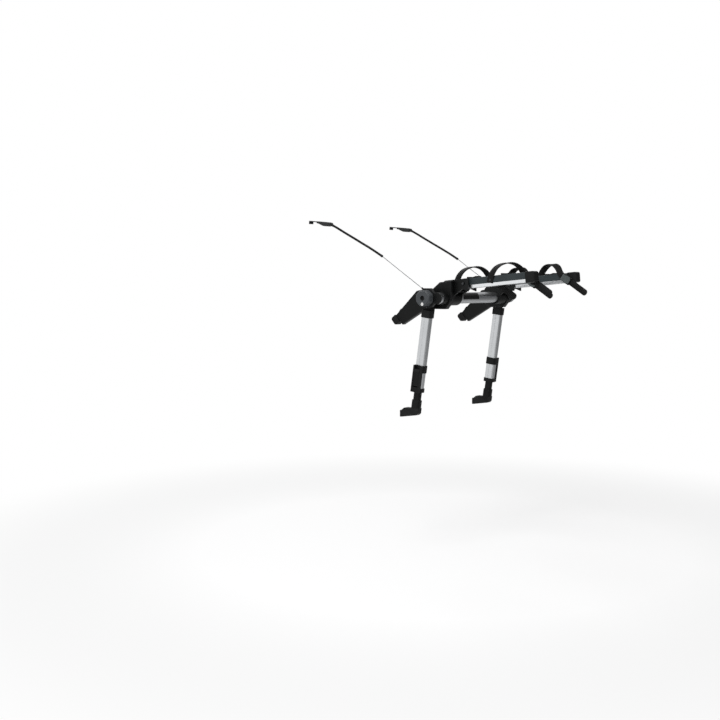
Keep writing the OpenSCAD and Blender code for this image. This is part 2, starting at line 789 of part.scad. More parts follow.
buckle_pin_cover = 2;
module buckles(side) {
    wall_h = buckle_pin_height + buckle_pin_cover;
    color("#1c1c1c") on_side(side) at_arm() for (far = [0, 1]) at_buckle(far) {
        translate([-buckle_base_t, -buckle_len / 2, -buckle_w / 2])
            cube([buckle_base_t, buckle_len, buckle_w]);
        rod(-buckle_base_t / 2, buckle_stand, buckle_foot_r, buckle_foot_y);
        for (z = [-buckle_w / 2, buckle_w / 2 - buckle_wall]) translate([-wall_h, -buckle_len / 2, z])
            cube([wall_h, buckle_len, buckle_wall]);
        translate([-buckle_pin_height, buckle_pin_y, -buckle_w / 2]) cylinder(d = buckle_pin_d, h = buckle_w);
    }
}

// The lever's face, a rectangle with its corners cut off
lever_face_cut = 8;
module lever_face() {
    w = buckle_w / 2;
    l = lever_face_len / 2;
    c = lever_face_cut;
    linear_extrude(lever_face_t) polygon([[-w, c - l], [c - w, -l], [w - c, -l], [w, c - l], [w, l - c],
        [w - c, l], [c - w, l], [-w, l - c]]);
}
lever_face_out = 2.2;
lever_hub_wrap = 1.5;
neck_gap = 0.5;
neck_lap = 1.5;
neck_end = 6;
module buckle_lever(side, far) {
    neck_w = strap_w - 2 * neck_gap;
    neck_len = lever_face_len + lever_face_clear - neck_end;
    pin_r = buckle_pin_d / 2;
    color("#6a7070") on_side(side) at_arm() at_buckle(far) translate([-buckle_pin_height, buckle_pin_y, 0])
        difference() {
            union() {
                translate([0, 0, -neck_w / 2]) cylinder(r = pin_r + lever_hub_wrap, h = neck_w);
                translate([neck_lap - lever_face_out - lever_face_t, -neck_len, -neck_w / 2])
                    cube([lever_face_t, neck_len, neck_w]);
                translate([-lever_face_out, -lever_face_clear - lever_face_len / 2, 0])
                    rotate([0, -90, 0]) lever_face();
            }
            translate([0, 0, -buckle_w]) cylinder(r = pin_r + turn_fit, h = 2 * buckle_w);
        }
}
module inner_buckle_lever(side) {
    buckle_lever(side, 0);
}
module outer_buckle_lever(side) {
    buckle_lever(side, 1);
}

// The leg
knuckle_neck_in = 2;
module leg_knuckle(side) {
    neck = leg_w / 2 + slide_fit + socket_wall - knuckle_neck_in;
    color("#1e1e1e") on_side(side) difference() {
        union() {
            at_leg() rod(head_x0, head_x1, head_r);
            at_leg() slab(head_x0, head_x1) polygon([[-head_r, 0], [-neck - leg_set, -socket_top],
                [-neck - leg_set, -socket_bottom], [neck - leg_set, -socket_bottom],
                [neck - leg_set, -socket_top], [head_r, 0]]);
            at_leg_axis() translate([0, 0, -socket_bottom]) linear_extrude(socket_bottom - socket_top)
                leg_outline(slide_fit + socket_wall);
        }
        at_leg() rod(0, 2 * head_x1, bolt_d / 2 + turn_fit);
        at_leg_axis() translate([0, 0, -socket_bottom - cut]) linear_extrude(socket_depth + cut)
            leg_outline(slide_fit);
    }
}

module leg_tube(side) {
    color("silver") on_side(side) at_leg_axis() translate([0, 0, -leg_end])
        linear_extrude(leg_end - socket_bottom + socket_depth) difference() {
            leg_outline();
            leg_outline(-leg_wall);
        }
}

// Two bands around the leg tube, joined by the lever's housing on the outboard side
slot_end_gap = 2;
module leg_clamp(side) {
    slot_bottom = lever_pin_z - lever_hub_r - slot_end_gap;
    slot_w = lever_w + 2 * lever_side;
    color("#1e1e1e") on_side(side) at_leg_axis() {
        difference() {
            union() {
                translate([0, 0, -clamp_top - top_band_h]) linear_extrude(top_band_h)
                    leg_outline(slide_fit + clamp_wall);
                translate([0, 0, -clamp_bottom]) linear_extrude(low_band_h)
                    leg_outline(slide_fit + clamp_wall);
                translate([housing_x0, -leg_w / 2, -clamp_bottom]) cube([housing_t, leg_w, clamp_len]);
            }
            translate([0, 0, -leg_end]) linear_extrude(clamp_len) leg_outline(slide_fit);
            translate([0, 0, -clamp_bottom - cut]) linear_extrude(clamp_len) stem_outline(slide_fit);
            translate([housing_x0 + slot_floor, -slot_w / 2, slot_bottom])
                cube([2 * housing_t, slot_w, -clamp_top - slot_bottom + cut]);
        }
        translate([lever_pin_x, slot_w / 2 + cut / 2, lever_pin_z]) rotate([90, 0, 0])
            cylinder(d = lever_pin_d, h = slot_w + cut);
    }
}

lever_tip = 10;
lever_bulge = 3;
lever_face_in = 0.4;
module clamp_lever(side) {
    face = lever_hub_r - lever_face_in;
    back = face - lever_t;
    color("#3a3c3e") on_side(side) at_leg_axis() translate([lever_pin_x, 0, lever_pin_z]) difference() {
        union() {
            bar(-lever_w / 2, lever_w / 2) circle(r = lever_hub_r);
            bar(-lever_w / 2, lever_w / 2) polygon([[-lever_hub_r / 2, 0], [back, lever_tip],
                [back, lever_len], [face, lever_len], [face + lever_bulge, lever_len - lever_tip],
                [face, lever_len - 2 * lever_tip], [face, 0]]);
        }
        bar(-lever_w, lever_w) circle(r = lever_pin_d / 2 + turn_fit);
    }
}

// The stem, with a guide on its upper end and the foot on its lower end
foot_sink = 14;
guide_h = 18;
upright_h = 34;
upright_grow = 4;
heel_back = [3, 4];
heel_low = [10, 3];
module leg_stem(side) {
    front = foot_reach - foot_pad_t;
    top = -foot_drop + foot_face_h / 2;
    bottom = -foot_drop - foot_face_h / 2;
    heel = -stem_w / 2 - upright_grow;
    color("#1c1c1c") on_side(side) {
        at_leg_axis() {
            translate([0, 0, -stem_end - foot_sink]) {
                linear_extrude(stem_end + foot_sink - leg_end + stem_inside) stem_outline();
                linear_extrude(upright_h + foot_sink) stem_outline(upright_grow);
            }
            translate([0, 0, stem_inside - leg_end]) linear_extrude(guide_h)
                leg_outline(-leg_wall - slide_fit);
        }
        translate([0, stem_y, stem_z]) slab(leg_x - foot_w / 2, leg_x + foot_w / 2)
            polygon([[heel, 0], [heel + heel_back[0], heel_back[1] - foot_drop],
                [heel + heel_low[0], -heel_low[1] - foot_drop], [front, bottom], [front, top],
                [front - foot_sink, 0]]);
    }
}

foot_pad_r = 3;
module foot_pad(side) {
    color("#2a2a2a") on_side(side) translate([leg_x, seat_y, seat_z]) bar(-foot_pad_t, 0)
        soft_square(foot_w, foot_face_h, foot_pad_r);
}

// The upper foot
module at_foot_arm() {
    at_pivot() rotate([-foot_arm_slope, 0, 0]) children();
}
foot_arm_root = 34;
foot_arm_brow = [8, 14];
foot_arm_belly = [22, 16];
bump_inset = 4;
bump_back = 36;
bump_front = 16;
bump_rise = [8, 6];
bump_slant = [2, 4];
bump_sink = 1;
module foot_arm_outline() {
    polygon([[0, head_r], [foot_arm_brow[0], foot_arm_root_top - foot_arm_brow[1]],
        [foot_arm_root, foot_arm_root_top], [foot_arm_len, foot_arm_end_top],
        [foot_arm_len, foot_arm_end_top - foot_arm_end_t],
        [foot_arm_root + foot_arm_belly[0], -foot_arm_belly[1]], [0, -head_r]]);
}
module foot_arm_bump() {
    back = foot_arm_len - bump_back;
    front = foot_arm_len - bump_front;
    low = foot_arm_end_top - bump_sink;
    polygon([[back, low], [back, foot_arm_end_top], [back + bump_slant[0], foot_arm_end_top + bump_rise[0]],
        [front - bump_slant[1], foot_arm_end_top + bump_rise[1]], [front, low]]);
}
module upper_foot_arm(side) {
    color("#1c1c1c") on_side(side) at_foot_arm() difference() {
        union() {
            rod(foot_arm_x0, foot_arm_x1, head_r);
            slab(foot_arm_x0, foot_arm_x1) foot_arm_outline();
            slab(foot_arm_x0 + bump_inset, foot_arm_x1 - bump_inset) foot_arm_bump();
        }
        rod(0, 2 * foot_arm_x1, bolt_d / 2 + turn_fit);
    }
}

upper_pad_rise = 3;
upper_pad_cut = 6;
module upper_pad(side) {
    top = foot_arm_end_top + upper_pad_rise;
    low = top - upper_pad_h;
    end = foot_arm_len + upper_pad_t;
    c = upper_pad_cut;
    pad_x = (foot_arm_x0 + foot_arm_x1) / 2;
    color("#242424") on_side(side) at_foot_arm() slab(pad_x - upper_pad_w / 2, pad_x + upper_pad_w / 2)
        polygon([[foot_arm_len, low], [end - c, low], [end, low + c], [end, top - c], [end - c, top],
            [foot_arm_len, top]]);
}

cross_tube();
tube_plugs();
label_plate();
pivot_bolts();
arm_pins();
winch_covers();
hub_body(-1);  // left_hub_body
hub_body(1);  // right_hub_body
winch_housing(-1);  // left_winch_housing
winch_housing(1);  // right_winch_housing
winch_drum(-1);  // left_winch_drum
winch_drum(1);  // right_winch_drum
winch_knob(-1);  // left_winch_knob
winch_knob(1);  // right_winch_knob
knob_marker(-1);  // left_knob_marker
knob_marker(1);  // right_knob_marker
winch_pawl(-1);  // left_winch_pawl
winch_pawl(1);  // right_winch_pawl
steel_cable(-1);  // left_steel_cable
steel_cable(1);  // right_steel_cable
cable_sleeve(-1);  // left_cable_sleeve
cable_sleeve(1);  // right_cable_sleeve
hook_body(-1);  // left_hook_body
hook_body(1);  // right_hook_body
hook_tongue(-1);  // left_hook_tongue
hook_tongue(1);  // right_hook_tongue
arm_rail(-1);  // left_arm_rail
arm_rail(1);  // right_arm_rail
arm_cover(-1);  // left_arm_cover
arm_cover(1);  // right_arm_cover
arm_end_cap(-1);  // left_arm_end_cap
arm_end_cap(1);  // right_arm_end_cap
cradle_pads(-1);  // left_cradle_pads
cradle_pads(1);  // right_cradle_pads
inner_strap(-1);  // left_inner_strap
inner_strap(1);  // right_inner_strap
outer_strap(-1);  // left_outer_strap
outer_strap(1);  // right_outer_strap
buckles(-1);  // left_buckles
buckles(1);  // right_buckles
inner_buckle_lever(-1);  // left_inner_buckle_lever
inner_buckle_lever(1);  // right_inner_buckle_lever
outer_buckle_lever(-1);  // left_outer_buckle_lever
outer_buckle_lever(1);  // right_outer_buckle_lever
leg_knuckle(-1);  // left_leg_knuckle
leg_knuckle(1);  // right_leg_knuckle
leg_tube(-1);  // left_leg_tube
leg_tube(1);  // right_leg_tube
leg_clamp(-1);  // left_leg_clamp
leg_clamp(1);  // right_leg_clamp
clamp_lever(-1);  // left_clamp_lever
clamp_lever(1);  // right_clamp_lever
leg_stem(-1);  // left_leg_stem
leg_stem(1);  // right_leg_stem
foot_pad(-1);  // left_foot_pad
foot_pad(1);  // right_foot_pad
upper_foot_arm(-1);  // left_upper_foot_arm
upper_foot_arm(1);  // right_upper_foot_arm
upper_pad(-1);  // left_upper_pad
upper_pad(1);  // right_upper_pad
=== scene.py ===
"""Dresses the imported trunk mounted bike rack: rounded mouldings, ladder straps, wire cables and finishes."""

import json
import logging
from dataclasses import dataclass, replace
from enum import Enum
from math import cos, pi, radians, sin, sqrt, tan
from typing import Callable, Sequence

import bmesh
import bpy
from bmesh.types import BMEdge, BMesh, BMFace, BMVert
from bpy.types import ID, Material, NodeSocket, NodeTree, Object
from mathutils import Matrix, Vector
from mathutils.geometry import intersect_point_line


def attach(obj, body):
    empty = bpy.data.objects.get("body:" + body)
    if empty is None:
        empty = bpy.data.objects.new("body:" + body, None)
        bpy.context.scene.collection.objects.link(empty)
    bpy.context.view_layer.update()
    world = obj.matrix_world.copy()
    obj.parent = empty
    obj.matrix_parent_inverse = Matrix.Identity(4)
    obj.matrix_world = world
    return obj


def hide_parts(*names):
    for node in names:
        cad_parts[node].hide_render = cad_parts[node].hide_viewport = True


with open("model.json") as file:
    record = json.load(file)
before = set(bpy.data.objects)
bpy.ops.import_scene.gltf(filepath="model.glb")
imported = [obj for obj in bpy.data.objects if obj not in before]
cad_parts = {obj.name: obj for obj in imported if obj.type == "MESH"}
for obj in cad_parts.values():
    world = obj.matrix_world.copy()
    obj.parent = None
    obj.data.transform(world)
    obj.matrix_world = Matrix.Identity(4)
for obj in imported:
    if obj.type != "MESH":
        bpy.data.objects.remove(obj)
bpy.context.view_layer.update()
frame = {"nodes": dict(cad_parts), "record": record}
LOG = logging.getLogger("bike_rack")

MM = 0.001
# The cross tube's middle, in the part's frame
SEAT = Vector((0.0, -0.175686, 0.471456))
BODY_OF = {node: body for body, nodes in frame["record"]["behaviour"]["bodies"].items() for node in nodes}
EdgeTest = Callable[[BMEdge], bool]
Carve = Callable[[BMesh], None]
Pair = tuple[float, float]
Triple = tuple[float, float, float]
Colour = tuple[float, float, float, float]


class Side(Enum):
    """The left or right side of the rack."""

    LEFT = -1
    RIGHT = 1


@dataclass
class Sided:
    """A sub-assembly that each side of the rack has."""

    side: Side

    def node(self, name: str) -> str:
        """Full name of a node on this side."""
        return f"{self.side.name.lower()}_{name}"

    def place(self, local: Matrix) -> Matrix:
        """Takes a right-hand place about the cross tube's middle into the part's frame, on this side."""
        return Matrix.Translation(SEAT) @ Matrix.Scale(self.side.value, 4, Vector((1, 0, 0))) @ local

    def inside(self, local: Matrix, point: Vector) -> Vector:
        """Takes a point of the part's frame into the frame of a place on this side."""
        return self.place(local).inverted() @ point


class Grain(Enum):
    """The kinds of surface that the finishes show."""

    MOULDED = "moulded"
    BRUSHED = "brushed"
    RUBBER = "rubber"
    SMOOTH = "smooth"


def shift(x: float, y: float, z: float) -> Matrix:
    """A move in millimetres."""
    return Matrix.Translation(Vector((x, y, z)) * MM)


def turn(degrees: float, axis: str = "X") -> Matrix:
    """A turn about a main axis."""
    return Matrix.Rotation(radians(degrees), 4, axis)


# Where each sub-assembly sits about the cross tube's middle, on the right-hand side
PIVOT = shift(0, 48, 0)
ARM = shift(183, -75, 58.208) @ turn(-5.2)
LEG = PIVOT @ turn(8) @ shift(285.2, -6, 0)
FOOT_ARM = PIVOT @ turn(-39.7)
HOOK = shift(298, 530, 307) @ turn(6)
CRADLES = {"inner": ARM @ shift(0, -30, 20), "outer": ARM @ shift(0, -184, 20)}

WHITE = (1.0, 1.0, 1.0, 1.0)
# How each finish mixes grain with slow drift, and where along the mix its colours and roughness lie
GRAIN_SHARE = 0.55
DRIFT_SCALE = 14.0
COLOUR_SPAN = (0.36, 0.64)
ROUGH_SPAN = (0.3, 0.7)
RELIEF_DEPTH = 0.0004
BRUSHING = 0.35
# How convex an edge must be for its painted highlight and wear, and the colour that these lighten it towards
EDGE_HIGHLIGHT_AND_WEAR_SPAN = (0.52, 0.62)
EDGE_HIGHLIGHT_AND_WEAR_COLOUR = "#8c8e90"


def paint(code: str) -> Colour:
    """Turns a colour written as #rrggbb into the shader's linear colour."""
    parts = [int(code[i:i + 2], 16) / 255 for i in (1, 3, 5)]
    linear = [c / 12.92 if c <= 0.04045 else ((c + 0.055) / 1.055) ** 2.4 for c in parts]
    return (*linear, 1.0)


def map_range(tree: NodeTree, value: NodeSocket, span: Pair, onto: Pair = (0.0, 1.0),
              smooth: bool = False) -> NodeSocket:
    """Adds a node that maps a value from one span onto another.

    Args:
        tree: the nodes to add to.
        value: the value's socket.
        span: the span that it comes from.
        onto: the span that it goes to.
        smooth: whether it eases in and out.

    Returns:
        The mapped value's socket.
    """
    node = tree.nodes.new("ShaderNodeMapRange")
    if smooth:
        node.interpolation_type = "SMOOTHSTEP"
    node.inputs["From Min"].default_value, node.inputs["From Max"].default_value = span
    node.inputs["To Min"].default_value, node.inputs["To Max"].default_value = onto
    tree.links.new(value, node.inputs["Value"])
    return node.outputs["Result"]


def combine(tree: NodeTree, how: str, *values: NodeSocket | float) -> NodeSocket:
    """Adds a math node.

    Args:
        tree: the nodes to add to.
        how: the node's operation.
        values: sockets or fixed values, in the order of its inputs.

    Returns:
        The result's socket.
    """
    node = tree.nodes.new("ShaderNodeMath")
    node.operation = how
    for socket, value in zip(node.inputs, values):
        if isinstance(value, float):
            socket.default_value = value
        else:
            tree.links.new(value, socket)
    return node.outputs[0]


def ramp(tree: NodeTree, value: NodeSocket, span: Pair, colours: Sequence[Colour]) -> NodeSocket:
    """Adds a ramp from one colour to another.

    Args:
        tree: the nodes to add to.
        value: the value's socket.
        span: where the two colours lie along the value.
        colours: the two colours.

    Returns:
        The colour's socket.
    """
    node = tree.nodes.new("ShaderNodeValToRGB")
    for stop, place, colour in zip(node.color_ramp.elements, span, colours):
        stop.position = place
        stop.color = colour
    tree.links.new(value, node.inputs["Fac"])
    return node.outputs["Color"]


@dataclass(frozen=True)
class Finish:
    """One surface finish and the record's slot that it belongs to."""

    name: str
    slot: str
    grain: Grain
    dark: str
    light: str
    rough: Pair
    metallic: float = 0.0
    pattern: float = 900.0
    relief: float = 0.12
    streak: Triple = (1.0, 1.0, 1.0)
    edge_highlight_and_wear: float = 0.0
    specular: float = 0.5

    def material(self) -> Material:
        """Makes the finish's material, or gives back the one already made."""
        found = bpy.data.materials.get(self.name)
        return found if found else self._make()

    def _make(self) -> Material:
        """Builds the node tree: grain, slow colour drift, edges lightened as painted highlight and wear, and
        relief.
        """
        material = bpy.data.materials.new(self.name)
        material.use_nodes = True
        tree = material.node_tree
        shader = tree.nodes["Principled BSDF"]
        shader.inputs["Metallic"].default_value = self.metallic
        shader.inputs["Specular IOR Level"].default_value = self.specular
        if self.grain is Grain.BRUSHED:
            shader.inputs["Anisotropic"].default_value = BRUSHING
        link = tree.links.new
        coords = tree.nodes.new("ShaderNodeTexCoord").outputs["Object"]
        fine = self._texture(tree, coords)
        slow = self._noise(tree, coords, DRIFT_SCALE, 2.0)
        rest = combine(tree, "MULTIPLY", slow, 1.0 - GRAIN_SHARE)
        drift = combine(tree, "MULTIPLY_ADD", fine, GRAIN_SHARE, rest)
        colour = ramp(tree, drift, COLOUR_SPAN, (paint(self.dark), paint(self.light)))
        # painted highlight and wear: convex edges are lightened in the base colour
        link(self._edge_highlight_and_wear(tree, colour) if self.edge_highlight_and_wear else colour, shader.inputs["Base Color"])
        link(map_range(tree, drift, ROUGH_SPAN, self.rough), shader.inputs["Roughness"])
        if self.relief:
            bump = tree.nodes.new("ShaderNodeBump")
            bump.inputs["Strength"].default_value = self.relief
            bump.inputs["Distance"].default_value = RELIEF_DEPTH
            link(fine, bump.inputs["Height"])
            link(bump.outputs["Normal"], shader.inputs["Normal"])
        return material

    def _texture(self, tree: NodeTree, vector: NodeSocket) -> NodeSocket:
        """Adds the grain's texture: pebbles on rubber, streaks on brushed metal, else a fine noise.

        Args:
            tree: the material's nodes.
            vector: the place on the piece.

        Returns:
            The texture's value socket.
        """
        mapping = tree.nodes.new("ShaderNodeMapping")
        mapping.inputs["Scale"].default_value = self.streak
        tree.links.new(vector, mapping.inputs["Vector"])
        if self.grain is not Grain.RUBBER:
            return self._noise(tree, mapping.outputs["Vector"], self.pattern, 3.0)
        pebbles = tree.nodes.new("ShaderNodeTexVoronoi")
        pebbles.inputs["Scale"].default_value = self.pattern
        tree.links.new(mapping.outputs["Vector"], pebbles.inputs["Vector"])
        return pebbles.outputs["Distance"]

    @staticmethod
    def _noise(tree: NodeTree, vector: NodeSocket, scale: float, detail: float) -> NodeSocket:
        """Adds a noise texture and gives its value socket."""
        noise = tree.nodes.new("ShaderNodeTexNoise")
        noise.inputs["Scale"].default_value = scale
        noise.inputs["Detail"].default_value = detail
        tree.links.new(vector, noise.inputs["Vector"])
        return noise.outputs["Fac"]

    def _edge_highlight_and_wear(self, tree: NodeTree, colour: NodeSocket) -> NodeSocket:
        """Lightens the colour where the surface is convex: a painted highlight on the edges, partly wear such
        as handling leaves.
        """
        geometry = tree.nodes.new("ShaderNodeNewGeometry")
        edge = map_range(tree, geometry.outputs["Pointiness"], EDGE_HIGHLIGHT_AND_WEAR_SPAN, (0.0, self.edge_highlight_and_wear))
        mix = tree.nodes.new("ShaderNodeMix")
        mix.data_type = "RGBA"
        mix.inputs["B"].default_value = paint(EDGE_HIGHLIGHT_AND_WEAR_COLOUR)
        tree.links.new(edge, mix.inputs["Factor"])
        tree.links.new(colour, mix.inputs["A"])
        return mix.outputs["Result"]


class Finishes:
    """The finishes of this rack."""

    # The edge lightening values below paint a highlight on convex edges, partly standing for wear.
    BLACK = Finish("black_moulding", "black_plastic", Grain.MOULDED, "#060707", "#0e0f0f", (0.34, 0.48),
                   edge_highlight_and_wear=0.08, specular=0.15)
    SLATE = Finish("slate_cover", "slate_plastic", Grain.MOULDED, "#20272a", "#2a3235", (0.4, 0.52),
                   edge_highlight_and_wear=0.05, specular=0.28)
    KNOB = Finish("knob_grey", "grey_plastic", Grain.MOULDED, "#3b3e40", "#46494c", (0.42, 0.56),
                  specular=0.26)
    BUCKLE = Finish("buckle_face", "buckle_grey", Grain.MOULDED, "#3f4545", "#4b5151", (0.45, 0.58),
                    edge_highlight_and_wear=0.06, specular=0.28)
    DOT = Finish("marker_white", "white_plastic", Grain.SMOOTH, "#cfcfcd", "#dcdcda", (0.25, 0.35),
                 relief=0.03)
    LABEL = Finish("plate_gloss", "label_black", Grain.SMOOTH, "#090909", "#0f0f0f", (0.36, 0.46),
                   relief=0.02, specular=0.16)
    RUBBER = Finish("strap_rubber", "rubber", Grain.RUBBER, "#0e0e0e", "#181818", (0.55, 0.7),
                    pattern=1500.0, relief=0.16, specular=0.14)
    HOOK = Finish("hook_rubber", "rubber", Grain.RUBBER, "#242525", "#323333", (0.5, 0.66),
                  pattern=1300.0, relief=0.14, specular=0.18)
    # painted light: the rail, the cross tube and the legs are one aluminium at three lightnesses, the rail
    # painted near white as if lit and the tube and legs darker as if in shade
    RAIL = Finish("rail_aluminium", "aluminium", Grain.BRUSHED, "#e0e2e4", "#e9ebed", (0.24, 0.3),
                  metallic=1.0, pattern=2600.0, relief=0.04, streak=(1.0, 0.006, 1.0))
    TUBE = replace(RAIL, name="tube_aluminium", dark="#a8aaac", light="#b6b8ba", rough=(0.26, 0.32),
                   streak=(0.006, 1.0, 1.0))
    LEG = replace(RAIL, name="leg_aluminium", dark="#c2c4c6", light="#ced0d2", rough=(0.22, 0.28),
                  streak=(1.0, 1.0, 0.006))
    STEEL = Finish("bright_steel", "steel", Grain.BRUSHED, "#8e9092", "#a8aaac", (0.26, 0.4),
                   metallic=1.0, pattern=700.0, relief=0.04)
    PIN = replace(STEEL, name="blackened_steel", dark="#3c3d3f", light="#4a4b4d", rough=(0.3, 0.42))
    WIRE = Finish("cable_wire", "steel", Grain.SMOOTH, "#6c6e70", "#828486", (0.42, 0.55),
                  metallic=1.0, pattern=700.0, relief=0.03)
    DARK_STEEL = Finish("coated_steel", "steel", Grain.MOULDED, "#1a1b1c", "#262829", (0.6, 0.72),
                        relief=0.05, specular=0.1)


def put(name: str, data: ID) -> Object:
    """Makes an object of a mesh, curve, camera or lamp and puts it into the scene."""
    thing = bpy.data.objects.new(name, data)
    bpy.context.scene.collection.objects.link(thing)
    return thing


class Piece:
    """A mesh piece that is put together from bmesh shapes."""

    def __init__(self, name: str, shape: BMesh | None = None) -> None:
        """Starts a piece, empty or from a shape that it keeps."""
        self.name = name
        self.bm = shape if shape else bmesh.new()

    def take(self, shape: BMesh, place: Matrix) -> None:
        """Adds a shape at a place and frees it.

        Args:
            shape: the shape in its own frame, which is used up.
            place: where it goes, mirrored or not.
        """
        bmesh.ops.transform(shape, matrix=place, verts=shape.verts)
        if place.determinant() < 0:
            bmesh.ops.reverse_faces(shape, faces=shape.faces)
        holder = bpy.data.meshes.new("holder")
        shape.to_mesh(holder)
        shape.free()
        self.bm.from_mesh(holder)
        bpy.data.meshes.remove(holder)

    def show(self, finish: Finish, body: str, replaces: Sequence[str] = (), sharp: float = 35.0,
             weighted: bool = True) -> Object:
        """Makes the object, dresses it and lets it ride on its body.

        Args:
            finish: the surface finish.
            body: the body it rides on.
            replaces: the nodes that it stands for.
            sharp: the angle in degrees past which an edge stays sharp.
            weighted: whether the flat faces keep flat shading beside their rounded edges.

        Returns:
            The finished object.
        """
        mesh = bpy.data.meshes.new(self.name)
        self.bm.to_mesh(mesh)
        self.bm.free()
        mesh.polygons.foreach_set("use_smooth", [True] * len(mesh.polygons))
        mesh.set_sharp_from_angle(angle=radians(sharp))
        piece = put(self.name, mesh)
        mesh.materials.append(finish.material())
        if weighted:
            modifier = piece.modifiers.new("flat_faces", "WEIGHTED_NORMAL")
            modifier.keep_sharp = True
        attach(piece, body)
        if replaces:
            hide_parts(*replaces)
        LOG.info("made %s on %s", self.name, body)
        return piece


# The shortest edge beside a rounding and the narrowest strip between two, in widths of the rounding
LEAST_EDGE = 1.3
LEAST_STRIP = 2.1
# The sharpest bend along a rounding, in radians
MOST_BEND = 0.55
# How nearly opposite two edges run on a strip, and how far past an edge's ends still lies beside it
RUNS_BACK = -0.5
PAST_END = 0.05


@dataclass(frozen=True)
class Rounding:
    """One pass of edge rounding: its width in millimetres and the edges that it takes."""

    width: float
    segments: int = 3
    sharper: float = 30.0
    test: EdgeTest | None = None


def soften(bm: BMesh, passes: Sequence[Rounding]) -> None:
    """Rounds a shape's sharp edges, each pass leaving what is too tight for it to the next one.

    Args:
        bm: the shape.
        passes: what to round, in order.
    """
    for each in passes:
        width = each.width * MM
        sharp = {e: None for e in bm.edges if len(e.link_faces) == 2
                 and e.calc_face_angle(0.0) > radians(each.sharper)
                 and (each.test is None or each.test(e))}
        room = [e for e in sharp if not any(_tight(v, sharp, width) for v in e.verts)
                and not any(_narrow(f, e, sharp, width) for f in e.link_faces)]
        for run in _runs(room):
            bmesh.ops.bevel(bm, geom=run, offset=width, offset_type="OFFSET", segments=each.segments,
                            profile=0.5, affect="EDGES", clamp_overlap=True, material=-1)


def _runs(edges: Sequence[BMEdge]) -> list[list[BMEdge]]:
    """Sorts edges into runs that touch each other.

    Args:
        edges: the edges, in the shape's order.

    Returns:
        The runs, none of which shares a corner with another.
    """
    left = dict.fromkeys(edges)
    runs: list[list[BMEdge]] = []
    for first in edges:
        if first not in left:
            continue
        del left[first]
        run = [first]
        for edge in run:
            near = dict.fromkeys(e for v in edge.verts for e in v.link_edges if e in left)
            run.extend(near)
            for taken in near:
                del left[taken]
        runs.append(run)
    return runs


def _tight(corner: BMVert, sharp: dict[BMEdge, None], width: float) -> bool:
    """Whether a short edge at a corner leaves no room for a rounding.

    Args:
        corner: the corner.
        sharp: the edges to be rounded.
        width: the rounding's width, in metres.

    Returns:
        True where an edge is short and isn't part of a run that bends more gently than the rounding.
    """
    for edge in corner.link_edges:
        length = edge.calc_length()
        if length > LEAST_EDGE * width:
            continue
        way = edge.other_vert(corner).co - corner.co
        bends = [pi - way.angle(other.other_vert(corner).co - corner.co, 0.0)
                 for other in corner.link_edges if other in sharp and other is not edge]
        if edge not in sharp or not bends or min(bends) > MOST_BEND:
            return True
        if length < 2 * tan(min(bends) / 2) * width:
            return True
    return False


def _narrow(face: BMFace, edge: BMEdge, sharp: dict[BMEdge, None], width: float) -> bool:
    """Whether a face has no room to be rounded along an edge and along the one opposite.

    Args:
        face: the face.
        edge: one of its edges.
        sharp: the edges to be rounded.
        width: the rounding's width, in metres.

    Returns:
        True where a sharp edge runs back close beside this one.
    """
    ways = {loop.edge: loop.link_loop_next.vert.co - loop.vert.co for loop in face.loops}
    a, b = (v.co for v in edge.verts)
    for other, way in ways.items():
        if other is edge or other not in sharp:
            continue
        if way.normalized().dot(ways[edge].normalized()) > RUNS_BACK:
            continue
        near = [intersect_point_line(v.co, a, b) for v in other.verts]
        if any((v.co - at).length < LEAST_STRIP * width and -PAST_END < part < 1 + PAST_END
               for v, (at, part) in zip(other.verts, near)):
            return True
    return False


def prism(outline: Sequence[Pair], x0: float, x1: float) -> BMesh:
    """Extrudes an outline in Y and Z along X.

    Args:
        outline: the outline's points, in millimetres.
        x0: where it starts.
        x1: where it ends.

    Returns:
        The closed shape, in metres.
    """
    bm = bmesh.new()
    base = bm.faces.new([bm.verts.new((x0 * MM, y * MM, z * MM)) for y, z in outline])
    made = bmesh.ops.extrude_face_region(bm, geom=[base])["geom"]
    far = [g for g in made if isinstance(g, BMVert)]
    bmesh.ops.translate(bm, vec=((x1 - x0) * MM, 0, 0), verts=far)
    bmesh.ops.recalc_face_normals(bm, faces=bm.faces)
    return bm


def screw(radius: float, height: float) -> BMesh:
    """A low screw head with a socket, standing on the plane at height 0 along Z.

    Args:
        radius: the head's radius, in millimetres.
        height: the head's height, in millimetres.

    Returns:
        The head.
    """
    bm = bmesh.new()
    bmesh.ops.create_cone(bm, cap_ends=True, segments=24, radius1=radius * MM, radius2=radius * MM,
                          depth=height * MM, matrix=shift(0, 0, height / 2))
    top = max(bm.faces, key=lambda f: f.calc_center_median().z)
    bmesh.ops.inset_individual(bm, faces=[top], thickness=0.12 * radius * MM, depth=0.0)
    bmesh.ops.translate(bm, vec=(0, 0, 0.15 * height * MM), verts=top.verts)
    sink(bm, [top], wall=0.05 * radius, depth=0.5 * height, border=0.4 * radius)
    return bm


def area_of(face: BMFace) -> float:
    """A face's area, in square millimetres."""
    return face.calc_area() / (MM * MM)


def facing(bm: BMesh, way: Vector, area: float = 0.0, along: float = 0.99) -> list[BMFace]:
    """Faces that look along a direction.

    Args:
        bm: the shape.
        way: the direction.
        area: the least area, in square millimetres.
        along: how nearly they look along it, 1 being straight.

    Returns:
        The faces found.
    """
    aim = way.normalized()
    return [f for f in bm.faces if f.normal.dot(aim) > along and area_of(f) > area]


